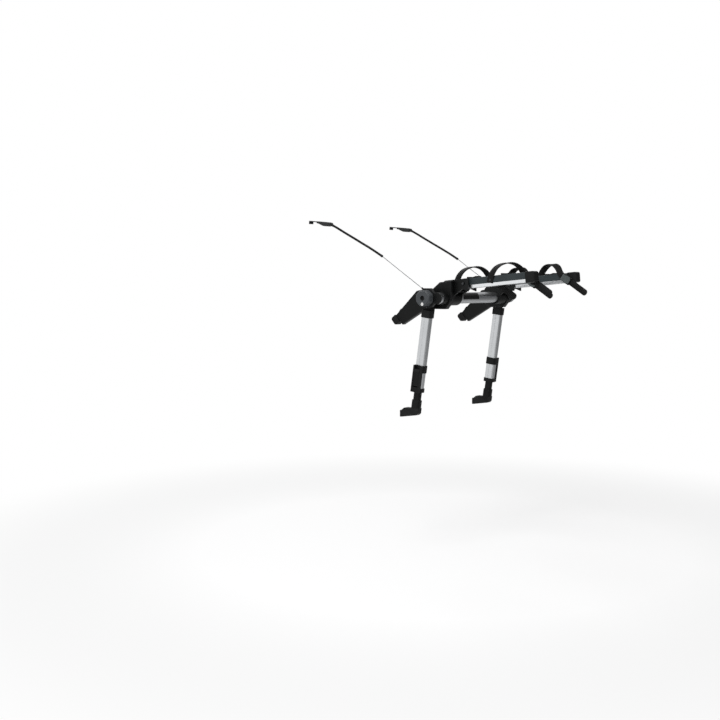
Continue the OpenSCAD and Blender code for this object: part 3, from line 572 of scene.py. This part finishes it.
def sink(bm: BMesh, faces: Sequence[BMFace], wall: float, depth: float, border: float = 0.0) -> None:
    """Sinks a panel into each face.

    Args:
        bm: the shape.
        faces: the faces.
        wall: how far the panel's walls lean in, in millimetres.
        depth: how deep the panel lies, in millimetres.
        border: the width left round each panel, in millimetres.
    """
    if border:
        bmesh.ops.inset_individual(bm, faces=faces, thickness=border * MM, depth=0.0)
    bmesh.ops.inset_individual(bm, faces=faces, thickness=wall * MM, depth=-depth * MM)


def cut(bm: BMesh, at: Vector, way: Vector) -> None:
    """Cuts a shape's faces along the plane through a point across a way, and keeps both halves."""
    bmesh.ops.bisect_plane(bm, geom=bm.verts[:] + bm.edges[:] + bm.faces[:], plane_co=at, plane_no=way)
    bm.normal_update()


# Corners nearer than this are one, shorter edges are dropped, and a tube's caps join it, in metres
MERGE = 2e-5
SPECK = 1e-5
WELD = 1e-6
# Faces that bend less than this are one, in radians
FLAT = radians(0.8)


def moulded(node: str, finish: Finish, passes: Sequence[Rounding], carve: Carve | None = None,
            sharp: float = 35.0) -> Object:
    """Shows a node as a copy with rounded edges.

    Args:
        node: the node that is copied and replaced.
        finish: its finish.
        passes: the edge rounding.
        carve: adds grooves or panels after the rounding.
        sharp: the angle past which an edge stays sharp.

    Returns:
        The new piece.
    """
    piece = Piece(f"{node}_moulded")
    bm = piece.bm
    bm.from_mesh(frame["nodes"][node].data)
    bmesh.ops.remove_doubles(bm, verts=bm.verts, dist=MERGE)
    bmesh.ops.dissolve_limit(bm, angle_limit=FLAT, verts=bm.verts, edges=bm.edges)
    soften(bm, passes)
    bmesh.ops.dissolve_degenerate(bm, dist=SPECK, edges=bm.edges)
    if carve:
        bm.normal_update()
        carve(bm)
    return piece.show(finish, BODY_OF[node], [node], sharp)


def bare(node: str, finish: Finish) -> None:
    """Dresses a node that keeps its own mesh."""
    thing = frame["nodes"][node]
    thing.data.materials.clear()
    thing.data.materials.append(finish.material())


def smooth_path(points: Sequence[Vector], step: float) -> list[Vector]:
    """Runs a smooth line through the points.

    Args:
        points: the points, in metres.
        step: the distance between samples, in metres.

    Returns:
        Samples along the line.
    """
    line: list[Vector] = []
    last = len(points) - 1
    for i in range(last):
        a, b, c, d = points[max(i - 1, 0)], points[i], points[i + 1], points[min(i + 2, last)]
        count = max(1, round((c - b).length / step))
        for k in range(count):
            t = k / count
            line.append(0.5 * (2 * b + (c - a) * t + (2 * a - 5 * b + 4 * c - d) * t * t
                               + (3 * b - a - 3 * c + d) * t ** 3))
    line.append(points[-1].copy())
    return line


def sweep(outline: Sequence[Pair], stations: Sequence[Matrix]) -> BMesh:
    """Extrudes an outline from station to station.

    Args:
        outline: the outline's points, in metres.
        stations: the places that it passes through.

    Returns:
        The closed shape.
    """
    bm = bmesh.new()
    cap = bm.faces.new([bm.verts.new((x, y, 0.0)) for x, y in outline])
    bmesh.ops.transform(bm, matrix=stations[0], verts=bm.verts)
    for before, after in zip(stations, stations[1:]):
        made = bmesh.ops.extrude_face_region(bm, geom=[cap, *cap.edges])["geom"]
        cap = next(g for g in made if isinstance(g, BMFace))
        bmesh.ops.transform(bm, matrix=after @ before.inverted(), verts=list(cap.verts))
    bmesh.ops.recalc_face_normals(bm, faces=bm.faces)
    return bm


def tubes(name: str, lines: Sequence[Sequence[Vector]], radius: float, sides: int) -> BMesh:
    """Makes round tubes with closed ends along lines.

    Args:
        name: a name for the working curve.
        lines: the tubes' centre lines, in metres.
        radius: the tubes' radius, in metres.
        sides: half the number of sides, less two.

    Returns:
        The tubes as one shape.
    """
    curve = bpy.data.curves.new(name, "CURVE")
    curve.dimensions = "3D"
    curve.bevel_depth = radius
    curve.bevel_resolution = sides
    curve.use_fill_caps = True
    for line in lines:
        spline = curve.splines.new("POLY")
        spline.points.add(len(line) - 1)
        for point, place in zip(spline.points, line):
            point.co = (*place, 1.0)
    holder = put(name, curve)
    made = bpy.data.meshes.new_from_object(holder.evaluated_get(bpy.context.evaluated_depsgraph_get()))
    bm = bmesh.new()
    bm.from_mesh(made)
    bmesh.ops.remove_doubles(bm, verts=bm.verts, dist=WELD)
    bmesh.ops.recalc_face_normals(bm, faces=bm.faces)
    bpy.data.objects.remove(holder)
    bpy.data.curves.remove(curve)
    bpy.data.meshes.remove(made)
    return bm


# Each lamp's name, its place and width in metres, and its power in watts
LAMPS = (("key_lamp", (-2.4, -0.6, 3.2), 1.6, 75.0), ("fill_lamp", (0.6, -3.6, 1.8), 2.0, 12.0),
         ("back_lamp", (1.2, 2.4, 2.8), 1.6, 40.0))


@dataclass
class Studio:
    """The camera, the floor and the soft light. Lengths are in metres."""

    eye: Triple = (-3.764, -2.420686, 0.525956)
    yaw: float = 37.15
    dip: float = 4.16
    lens: float = 51.85
    sensor: float = 36.0
    lamp_aim: Triple = (0.0, -0.1, 0.45)
    bright_way: Triple = (-0.4, 0.25, 0.85)
    mirror_span: Pair = (0.42, 0.72)
    sky_strength: float = 0.75
    sky_span: Pair = (0.36, 0.84)
    sky_dark: Colour = (0.22, 0.22, 0.23, 1.0)
    floor_z: float = -0.6
    floor_half: float = 40.0
    # painted shade: the floor's colour falls from pale to grey over this reach, so metal mirrors a darker
    # floor
    paper_reach: Pair = (1.2, 3.0)
    paper_painted_shade: Pair = (0.86, 0.34)
    paper_rough: float = 0.9
    fade_reach: Pair = (0.9, 2.6)
    fade_share: Pair = (0.35, 1.0)

    def camera(self) -> None:
        """Sets the camera at the photograph's angle."""
        data = bpy.data.cameras.new("photo_camera")
        data.lens = self.lens
        data.sensor_width = self.sensor
        holder = put("photo_camera", data)
        yaw, dip = radians(self.yaw), radians(self.dip)
        look = Vector((cos(yaw) * cos(dip), sin(yaw) * cos(dip), -sin(dip)))
        holder.location = self.eye
        holder.rotation_euler = look.to_track_quat("-Z", "Y").to_euler()
        bpy.context.scene.camera = holder

    def light(self) -> None:
        """Adds the soft lamps, the pale world and the floor."""
        bpy.context.scene.view_settings.view_transform = "Standard"
        for name, place, size, power in LAMPS:
            data = bpy.data.lights.new(name, "AREA")
            data.shape = "DISK"
            data.size = size
            data.energy = power
            lamp = put(name, data)
            lamp.location = place
            look = Vector(self.lamp_aim) - Vector(place)
            lamp.rotation_euler = look.to_track_quat("-Z", "Y").to_euler()
        self._world()
        self._floor()

    def _glow(self, tree: NodeTree, way: NodeSocket) -> NodeSocket:
        """How far a direction looks to the bright side of the studio, from 0 to 1.

        Args:
            tree: the nodes of the world or of the floor.
            way: the direction, of any length.

        Returns:
            The value's socket.
        """
        unit = tree.nodes.new("ShaderNodeVectorMath")
        unit.operation = "NORMALIZE"
        tree.links.new(way, unit.inputs[0])
        towards = tree.nodes.new("ShaderNodeVectorMath")
        towards.operation = "DOT_PRODUCT"
        towards.inputs[1].default_value = Vector(self.bright_way).normalized()
        tree.links.new(unit.outputs["Vector"], towards.inputs[0])
        return map_range(tree, towards.outputs["Value"], (-1.0, 1.0))

    def _seen(self, tree: NodeTree, glow: NodeSocket) -> NodeSocket:
        """A value of 1 for rays that show the white background, which metal mirrors on the bright side.

        Args:
            tree: the nodes of the world or of the floor.
            glow: how far the place lies on the bright side.

        Returns:
            The value's socket.
        """
        path = tree.nodes.new("ShaderNodeLightPath")
        bright = map_range(tree, glow, self.mirror_span, smooth=True)
        mirrored = combine(tree, "MULTIPLY", path.outputs["Is Glossy Ray"], bright)
        direct = combine(tree, "MAXIMUM", path.outputs["Is Camera Ray"], path.outputs["Is Transmission Ray"])
        return combine(tree, "MAXIMUM", direct, mirrored)

    def _world(self) -> None:
        """A pale world that shows white behind the rack."""
        world = bpy.data.worlds.new("studio")
        bpy.context.scene.world = world
        world.use_nodes = True
        tree = world.node_tree
        link = tree.links.new
        soft = tree.nodes["Background"]
        soft.inputs["Strength"].default_value = self.sky_strength
        glow = self._glow(tree, tree.nodes.new("ShaderNodeTexCoord").outputs["Generated"])
        link(ramp(tree, glow, self.sky_span, (self.sky_dark, WHITE)), soft.inputs["Color"])
        white = tree.nodes.new("ShaderNodeBackground")
        white.inputs["Color"].default_value = WHITE
        mix = tree.nodes.new("ShaderNodeMixShader")
        link(self._seen(tree, glow), mix.inputs["Fac"])
        link(soft.outputs["Background"], mix.inputs[1])
        link(white.outputs["Background"], mix.inputs[2])
        link(mix.outputs["Shader"], tree.nodes["World Output"].inputs["Surface"])

    def _floor(self) -> None:
        """A pale floor, far below the held rack, whose colour is painted darker with distance."""
        bm = bmesh.new()
        bmesh.ops.create_grid(bm, x_segments=1, y_segments=1, size=self.floor_half)
        bmesh.ops.translate(bm, vec=(0, 0, self.floor_z), verts=bm.verts)
        mesh = bpy.data.meshes.new("studio_floor")
        bm.to_mesh(mesh)
        bm.free()
        mesh.materials.append(self._paper())
        put("studio_floor", mesh)

    def _paper(self) -> Material:
        """The floor's paper, painted darker with distance as painted shade for metal to mirror, which fades
        into the white background.
        """
        material = bpy.data.materials.new("floor_paper")
        material.use_nodes = True
        tree = material.node_tree
        link = tree.links.new
        shader = tree.nodes["Principled BSDF"]
        shader.inputs["Roughness"].default_value = self.paper_rough
        shine = tree.nodes.new("ShaderNodeEmission")
        shine.inputs["Color"].default_value = WHITE
        mix = tree.nodes.new("ShaderNodeMixShader")
        here = tree.nodes.new("ShaderNodeTexCoord").outputs["Object"]
        reach = tree.nodes.new("ShaderNodeVectorMath")
        reach.operation = "LENGTH"
        link(here, reach.inputs[0])
        fade = map_range(tree, reach.outputs["Value"], self.fade_reach, self.fade_share, smooth=True)
        # painted shade: the paper's colour darkens with distance
        paper = map_range(tree, reach.outputs["Value"], self.paper_reach, self.paper_painted_shade)
        link(paper, shader.inputs["Base Color"])
        seen = self._seen(tree, self._glow(tree, here))
        link(combine(tree, "MULTIPLY", seen, fade), mix.inputs["Fac"])
        link(shader.outputs["BSDF"], mix.inputs[1])
        link(shine.outputs["Emission"], mix.inputs[2])
        link(mix.outputs["Shader"], tree.nodes["Material Output"].inputs["Surface"])
        return material


# The cable's route from the ferrule to the hook, about the cross tube's middle, in millimetres
CABLE_ROUTE = ((290.5, 71, 38), (291, 100, 57), (291, 130, 77), (292, 160, 97), (292, 190, 117),
               (292, 220, 137), (293, 245, 154), (293, 269, 170), (294, 302, 189), (294, 335, 207),
               (295, 368, 224), (295, 401, 241), (296, 434, 258), (297, 467, 275), (298, 499, 292),
               (298, 530, 307))

# The hook's side view, and the cable's route on through it, in the hook's frame
HOOK_OUTLINE = ((4, -2.5), (20, -7.5), (37, -7.5), (66, 1.5), (74, 1.5), (74, 10.5), (20, 10.5), (4, 8.5))
HOOK_ROUTE = ((0, 20, 4), (0, 44, 3), (0, 73, 2))


@dataclass
class TopAnchor(Sided):
    """A steel cable in its rubber sleeve, with the hook at its end."""

    cable_d: float = 3.0
    cable_step: float = 2.0
    strands: int = 6
    lay_len: float = 17.0
    sleeve_d: float = 10.5
    sleeve_at: int = 7
    sleeve_step: float = 4.0
    ring_rise: float = 0.5
    ring_len: float = 9.0
    hook_w: float = 32.0
    crimp_r: float = 6.3
    crimp_len: float = 15.0
    tip_from: float = 110.0
    upright: float = 5.0

    def build(self) -> None:
        """Makes the cable, its sleeve and its hook."""
        place = self.place(Matrix.Identity(4))
        points = [place @ (Vector(p) * MM) for p in CABLE_ROUTE]
        inside = [self.place(HOOK) @ (Vector(p) * MM) for p in HOOK_ROUTE]
        route = smooth_path(points + inside, self.cable_step * MM)
        body = BODY_OF[self.node("steel_cable")]
        strands = tubes("strands", self._strands(route), self.cable_d / 6 * MM, 1)
        cable = Piece(self.node("wire_cable"), strands)
        rope = cable.show(Finishes.WIRE, body, [self.node("steel_cable")], weighted=False)
        sleeve = self._sleeve(smooth_path(points[self.sleeve_at:], self.sleeve_step * MM), body)
        hook = self._hook(body)
        tongue = moulded(self.node("hook_tongue"), Finishes.DARK_STEEL,
                         [Rounding(6.0, 5, 60, self._tip_corner), Rounding(0.6, 2)])

    def _hook(self, body: str) -> Object:
        """The hook's moulded body, with a sunk panel on top and the crimp at its back.

        Args:
            body: the body that it rides on.

        Returns:
            The hook.
        """
        shape = prism(HOOK_OUTLINE, -self.hook_w / 2, self.hook_w / 2)
        soften(shape, [Rounding(7.0, 5, 60, self._upright), Rounding(2.0, 4, 15)])
        shape.normal_update()
        top = max(facing(shape, Vector((0, 0, 1))), key=area_of)
        sink(shape, [top], wall=0.6, depth=0.8, border=4.0)
        piece = Piece(self.node("hook_moulding"))
        piece.take(shape, self.place(HOOK))
        start, end = (Vector(p) * MM for p in CABLE_ROUTE[-2:])
        tail = end + (end - start).normalized() * self.crimp_len * MM
        crimp = tubes("crimp", [[end, tail]], self.crimp_r * MM, 6)
        soften(crimp, [Rounding(0.8, 3, 60)])
        piece.take(crimp, self.place(Matrix.Identity(4)))
        return piece.show(Finishes.HOOK, body, [self.node("hook_body")])

    def _upright(self, edge: BMEdge) -> bool:
        """Whether an edge of the hook's body stands upright."""
        return abs(edge.verts[0].co.z - edge.verts[1].co.z) > self.upright * MM

    def _tip_corner(self, edge: BMEdge) -> bool:
        """Whether an edge is one of the tongue's upright corners at the tip."""
        a, b = (self.inside(HOOK, v.co) for v in edge.verts)
        return min(a.y, b.y) > self.tip_from * MM and abs(a.z - b.z) > self.upright * MM

    def _strands(self, route: Sequence[Vector]) -> list[list[Vector]]:
        """Strands laid round a core.

        Args:
            route: the cable's centre line.

        Returns:
            The core's and the strands' centre lines.
        """
        lines: list[list[Vector]] = [list(route)]
        for strand in range(self.strands):
            line: list[Vector] = []
            along = 0.0
            for i, point in enumerate(route):
                if i:
                    along += (point - route[i - 1]).length
                ahead = (route[min(i + 1, len(route) - 1)] - route[max(i - 1, 0)]).normalized()
                across = ahead.cross(Vector((1, 0, 0))).normalized()
                angle = 2 * pi * (along / (self.lay_len * MM) + strand / self.strands)
                out = cos(angle) * across + sin(angle) * ahead.cross(across)
                line.append(point + out * self.cable_d / 3 * MM)
            lines.append(line)
        return lines

    def _sleeve(self, line: Sequence[Vector], body: str) -> Object:
        """The rubber sleeve, with a crimped ring at each end.

        Args:
            line: the sleeve's centre line.
            body: the body that it rides on.

        Returns:
            The sleeve.
        """
        radius = self.sleeve_d / 2
        pipe = tubes("sleeve", [line], (radius - self.ring_rise) * MM, 6)
        piece = Piece(self.node("rubber_sleeve"), pipe)
        for at, way in ((0, 1), (-1, -1)):
            ahead = (line[at + way] - line[at]).normalized()
            ring = tubes("ring", [[line[at], line[at] + ahead * self.ring_len * MM]], radius * MM, 6)
            soften(ring, [Rounding(0.8, 2, 60)])
            piece.take(ring, Matrix.Identity(4))
        return piece.show(Finishes.RUBBER, body, [self.node("cable_sleeve")], weighted=False)


# A strap's route about its cradle in millimetres, and the way its outer face looks in degrees
STRAP_ROUTE = ((23.3, 72, -27), (23.3, 66, -8), (23.3, 55, 12), (20, 38, 30), (12, 18, 40), (2, -6, 42.5),
               (-8, -26, 37), (-16, -42, 23), (-24, -53, 4), (-27.5, -65, -11.6), (-27.5, -82, -25.5),
               (-27.5, -100, -40.2), (-27.5, -132, -66.4), (-27.5, -165, -93.4))
STRAP_FACE = (0, 0, 20, 45, 70, 90, 112, 135, 158, 178, 180, 180, 180, 180)


@dataclass
class BikeArm(Sided):
    """A fold-down arm with its rail, cover, cap, cradles, straps and buckles."""

    cap_from: float = -300.0
    rim_at: float = -304.5
    rim: float = 1.0
    cover_len: float = 200.0
    cover_z: float = 19.0
    strap_w: float = 26.0
    strap_t: float = 4.0
    strap_edge: float = 0.9
    strap_step: float = 3.2
    tail_r: float = 13.0
    tail_tip: float = 0.06
    rung_from: int = 8
    rung_to: int = 6
    rung_wall: float = 0.5
    rung_h: float = 0.8

    def build(self) -> None:
        """Makes every piece of the arm."""
        moulded(self.node("arm_rail"), Finishes.RAIL, [Rounding(0.6, 2)])
        moulded(self.node("arm_cover"), Finishes.SLATE,
                [Rounding(2.4, 4, 60, self._long_top), Rounding(0.5, 2, 60)])
        moulded(self.node("arm_end_cap"), Finishes.BLACK, [Rounding(1.0, 3, 30, self._ahead_of_rim)],
                self._sink_end)
        moulded(self.node("cradle_pads"), Finishes.RUBBER, [Rounding(0.8, 2)], self._rib_pads)
        moulded(self.node("buckles"), Finishes.BLACK, [Rounding(0.6, 2)])
        for name in ("inner", "outer"):
            moulded(self.node(f"{name}_buckle_lever"), Finishes.BUCKLE, [Rounding(1.2, 3), Rounding(0.4, 2)])
            self._strap(name)
            self._root_screw(name)

    def _look(self, way: Triple) -> Vector:
        """A direction of the arm's frame, in the part's frame."""
        return (self.place(ARM).to_3x3() @ Vector(way)).normalized()

    def _sink_end(self, bm: BMesh) -> None:
        """Chamfers the end cap's rear rim and sinks a panel inside it."""
        rear = self._look((0, -1, 0))
        end = [f for f in facing(bm, rear, area=500)
               if self.inside(ARM, f.calc_center_median()).y < self.cap_from * MM]
        for face in end:
            bmesh.ops.translate(bm, vec=rear * -self.rim * MM, verts=face.verts)
        bmesh.ops.inset_individual(bm, faces=end, thickness=self.rim * MM, depth=self.rim * MM)
        sink(bm, end, wall=0.4, depth=1.2, border=1.2)

    def _ahead_of_rim(self, edge: BMEdge) -> bool:
        """Whether an edge of the end cap lies ahead of its rear rim."""
        return max(self.inside(ARM, v.co).y for v in edge.verts) > self.rim_at * MM

    def _rib_pads(self, bm: BMesh) -> None:
        """Presses grooves into the hollows of the cradle pads."""
        sink(bm, facing(bm, self._look((0, 0, 1)), area=30, along=0.85), wall=0.5, depth=0.5)

    def _root_screw(self, name: str) -> None:
        """The screw that holds a strap's root to the arm."""
        piece = Piece(self.node(f"{name}_root_screw"))
        piece.take(screw(4.2, 1.2), self.place(CRADLES[name] @ shift(25.3, 68, -16) @ turn(90, "Y")))
        piece.show(Finishes.PIN, BODY_OF[self.node(f"{name}_strap")])

    def _long_top(self, edge: BMEdge) -> bool:
        """Whether an edge runs along the top of the cover."""
        a, b = (self.inside(ARM, v.co) for v in edge.verts)
        return abs(a.y - b.y) > self.cover_len * MM and min(a.z, b.z) > self.cover_z * MM

    def _stations(self) -> list[Matrix]:
        """The places that a strap's outline passes through, narrowing round its tail."""
        step = self.strap_step * MM
        points = [Vector(p) * MM for p in STRAP_ROUTE]
        line = smooth_path(points, step)
        spans = [max(1, round((b - a).length / step)) for a, b in zip(points, points[1:])]
        looks = [STRAP_FACE[i] + (STRAP_FACE[i + 1] - STRAP_FACE[i]) * k / n
                 for i, n in enumerate(spans) for k in range(n)] + [STRAP_FACE[-1]]
        last = len(line) - 1
        stations = []
        for i, (point, look) in enumerate(zip(line, looks)):
            ahead = (line[min(i + 1, last)] - line[max(i - 1, 0)]).normalized()
            face = Vector((cos(radians(look)), 0, sin(radians(look))))
            across = face.cross(ahead).normalized()
            out = ahead.cross(across)
            left = min((last - i) * self.strap_step, self.tail_r)
            narrow = sqrt(max(self.tail_tip, 1 - (1 - left / self.tail_r) ** 2))
            turned = Matrix((across * narrow, out, ahead)).transposed().to_4x4()
            stations.append(Matrix.Translation(point) @ turned)
        return stations

    def _strap(self, name: str) -> None:
        """A ladder strap with raised rungs and a round tail."""
        stations = self._stations()
        w, t, r = self.strap_w / 2 * MM, self.strap_t / 2 * MM, self.strap_edge * MM
        outline = ((-w, -t + r), (-w + r, -t), (w - r, -t), (w, -t + r),
                   (w, t - r), (w - r, t), (-w + r, t), (-w, t - r))
        strap = sweep(outline, stations)
        rungs = []
        for i in range(self.rung_from, len(stations) - self.rung_to, 2):
            middle = (stations[i].translation + stations[i + 1].translation) / 2
            target = middle + stations[i].to_3x3() @ Vector((0, 1, 0)) * t
            rungs.append(min(strap.faces, key=lambda f: (f.calc_center_median() - target).length))
        bmesh.ops.inset_individual(strap, faces=rungs, thickness=self.rung_wall * MM, depth=self.rung_h * MM,
                                   use_even_offset=True)
        piece = Piece(self.node(f"{name}_ladder_strap"))
        piece.take(strap, self.place(CRADLES[name]))
        node = self.node(f"{name}_strap")
        piece.show(Finishes.RUBBER, BODY_OF[node], [node], sharp=50, weighted=False)


@dataclass
class Hub(Sided):
    """The hub casting and the winch beside it."""

    grip_x: Pair = (301.0, 320.0)
    recess_x: float = 322.0
    clamp_bolt: Triple = (233.0, -29.5, -8.0)
    cover_x: float = 297.0
    cover_ring: float = 36.9

    def build(self) -> None:
        """Makes the hub and the winch."""
        moulded(self.node("hub_body"), Finishes.BLACK, [Rounding(1.8, 3), Rounding(0.3, 2, 60)])
        moulded(self.node("winch_housing"), Finishes.BLACK, [Rounding(0.7, 2), Rounding(0.3, 2, 60)])
        moulded(self.node("winch_knob"), Finishes.KNOB, [Rounding(0.9, 3, 18)], self._grip, 30)
        moulded(self.node("knob_marker"), Finishes.DOT, [Rounding(0.4, 2, 60)])
        bare(self.node("winch_drum"), Finishes.STEEL)
        bare(self.node("winch_pawl"), Finishes.STEEL)
        self._knob_centre()
        self._bolts()

    def _knob_centre(self) -> None:
        """The dark cap in the knob's recess: a black piece put there as painted shade for the recess."""
        cap = Piece(self.node("knob_centre"))
        cap.take(screw(9.6, 2.5), self.place(PIVOT @ shift(self.recess_x, 0, 0) @ turn(90, "Y")))
        cap.show(Finishes.BLACK, BODY_OF[self.node("winch_knob")])

    def _grip(self, bm: BMesh) -> None:
        """Sinks a finger flat into each side of the knob."""
        low, high = (x * MM for x in self.grip_x)
        for x in (low, high):
            cut(bm, Vector((self.side.value * x, 0, 0)), Vector((1, 0, 0)))
        flats = [f for f in bm.faces if abs(f.normal.x) < 0.02 and area_of(f) > 150
                 and low < abs(f.calc_center_median().x) < high]
        sink(bm, flats, wall=0.8, depth=0.7, border=2.2)

    def _bolts(self) -> None:
        """The hub's clamp bolt and the winch cover's flush screws."""
        heads = Piece(self.node("hub_bolts"))
        heads.take(screw(5.0, 3.0), self.place(shift(*self.clamp_bolt) @ turn(108.4)))
        for angle in (-90, -45, 0, 45, 90):
            spot = PIVOT @ turn(angle) @ shift(self.cover_x, self.cover_ring, 0) @ turn(90, "Y")
            heads.take(screw(2.2, 0.5), self.place(spot))
        heads.show(Finishes.PIN, BODY_OF[self.node("hub_body")])


@dataclass
class LowerLeg(Sided):
    """A telescopic leg from its knuckle to its foot."""

    groove_w: float = 5.0
    flank_x: float = 13.5
    tread_z: Triple = (-6.0, 0.0, 6.0)

    def build(self) -> None:
        """Makes every piece of the leg."""
        moulded(self.node("leg_knuckle"), Finishes.BLACK, [Rounding(1.6, 3), Rounding(0.5, 2)])
        moulded(self.node("leg_tube"), Finishes.LEG, [Rounding(0.4, 2, 60)], self._groove)
        for name in ("leg_clamp", "clamp_lever"):
            moulded(self.node(name), Finishes.BLACK, [Rounding(1.2, 3), Rounding(0.4, 2)])
        moulded(self.node("leg_stem"), Finishes.BLACK, [Rounding(1.5, 3)])
        moulded(self.node("foot_pad"), Finishes.RUBBER, [Rounding(1.2, 3)], self._tread)

    def _groove(self, bm: BMesh) -> None:
        """Presses the long groove into both flanks of the tube."""
        place = self.place(LEG)
        across = (place.to_3x3() @ Vector((0, 1, 0))).normalized()
        for y in (-self.groove_w / 2, self.groove_w / 2):
            cut(bm, place @ Vector((0, y * MM, 0)), across)
        middles = {f: self.inside(LEG, f.calc_center_median()) for f in bm.faces}
        strips = [f for f, at in middles.items()
                  if abs(at.y) < 0.3 * MM and abs(at.x) > self.flank_x * MM and area_of(f) > 200]
        sink(bm, strips, wall=0.3, depth=0.8)

    def _tread(self, bm: BMesh) -> None:
        """Cuts the tread into the foot pad's contact face."""
        for z in self.tread_z:
            cut(bm, Vector((0, 0, z * MM)), Vector((0, 0, 1)))
        sink(bm, facing(bm, Vector((0, 1, 0)), area=60), wall=0.9, depth=0.9)


@dataclass
class UpperFoot(Sided):
    """The short sloping arm with a broad rubber pad."""

    panel_from: float = 18.0
    panel_border: float = 6.0
    tread_z: Triple = (30.0, 39.0, 48.0)

    def build(self) -> None:
        """Makes the arm and its pad."""
        moulded(self.node("upper_foot_arm"), Finishes.BLACK, [Rounding(2.4, 4)], self._panel)
        moulded(self.node("upper_pad"), Finishes.RUBBER, [Rounding(2.4, 4)], self._tread)

    def _panel(self, bm: BMesh) -> None:
        """Sinks a long panel into each flank of the arm, clear of the pivot's bore."""
        place = self.place(FOOT_ARM)
        start = self.panel_from * MM
        cut(bm, place @ Vector((0, start, 0)), place.to_3x3() @ Vector((0, 1, 0)))
        ends = min(v.co.x for v in bm.verts), max(v.co.x for v in bm.verts)
        parts = [f for f in self._beyond(bm, start)
                 if min(abs(f.calc_center_median().x - x) for x in ends) < SPECK]
        bmesh.ops.dissolve_faces(bm, faces=parts)
        flanks = [f for f in self._beyond(bm, start) if area_of(f) > 2500]
        sink(bm, flanks, wall=0.8, depth=1.2, border=self.panel_border)

    def _beyond(self, bm: BMesh, start: float) -> list[BMFace]:
        """Faces of the arm's flanks past a start, which is in metres along the arm."""
        return [f for f in bm.faces
                if abs(f.normal.x) > 0.99 and self.inside(FOOT_ARM, f.calc_center_median()).y > start]

    def _tread(self, bm: BMesh) -> None:
        """Cuts grooves into the pad's contact face."""
        place = self.place(FOOT_ARM)
        up = (place.to_3x3() @ Vector((0, 0, 1))).normalized()
        for z in self.tread_z:
            cut(bm, place @ Vector((0, 0, z * MM)), up)
        sink(bm, facing(bm, place.to_3x3() @ Vector((0, 1, 0)), area=60), wall=1.2, depth=1.4)


@dataclass
class CrossTube:
    """The cross tube with its plugs and its bare plate."""

    plate_r: float = 24.5
    plate_rim: float = 1.6

    def build(self) -> None:
        """Makes the tube's pieces and the shared hardware."""
        moulded("cross_tube", Finishes.TUBE, [Rounding(0.5, 2, 60)])
        moulded("tube_plugs", Finishes.BLACK, [Rounding(1.2, 3)])
        moulded("label_plate", Finishes.LABEL, [Rounding(0.5, 2, 60)], self._rim)
        moulded("winch_covers", Finishes.BLACK, [Rounding(0.9, 2)])
        bare("pivot_bolts", Finishes.STEEL)
        moulded("arm_pins", Finishes.PIN, [Rounding(0.8, 3)])

    def _rim(self, bm: BMesh) -> None:
        """Leaves a raised rim round the bare plate."""
        outer = [f for f in bm.faces
                 if area_of(f) > 100 and (f.calc_center_median() - SEAT).yz.length > self.plate_r * MM]
        bmesh.ops.inset_region(bm, faces=outer, thickness=self.plate_rim * MM, depth=0.0, use_boundary=True)
        bmesh.ops.inset_region(bm, faces=outer, thickness=0.4 * MM, depth=-0.5 * MM, use_boundary=True)


def main() -> None:
    """Builds the scene in order."""
    logging.basicConfig(level=logging.INFO, format="%(message)s")
    studio = Studio()
    studio.camera()
    for side in Side:
        TopAnchor(side).build()
    CrossTube().build()
    for side in Side:
        Hub(side).build()
        BikeArm(side).build()
        LowerLeg(side).build()
        UpperFoot(side).build()
    studio.light()


if __name__ == "__main__":
    main()
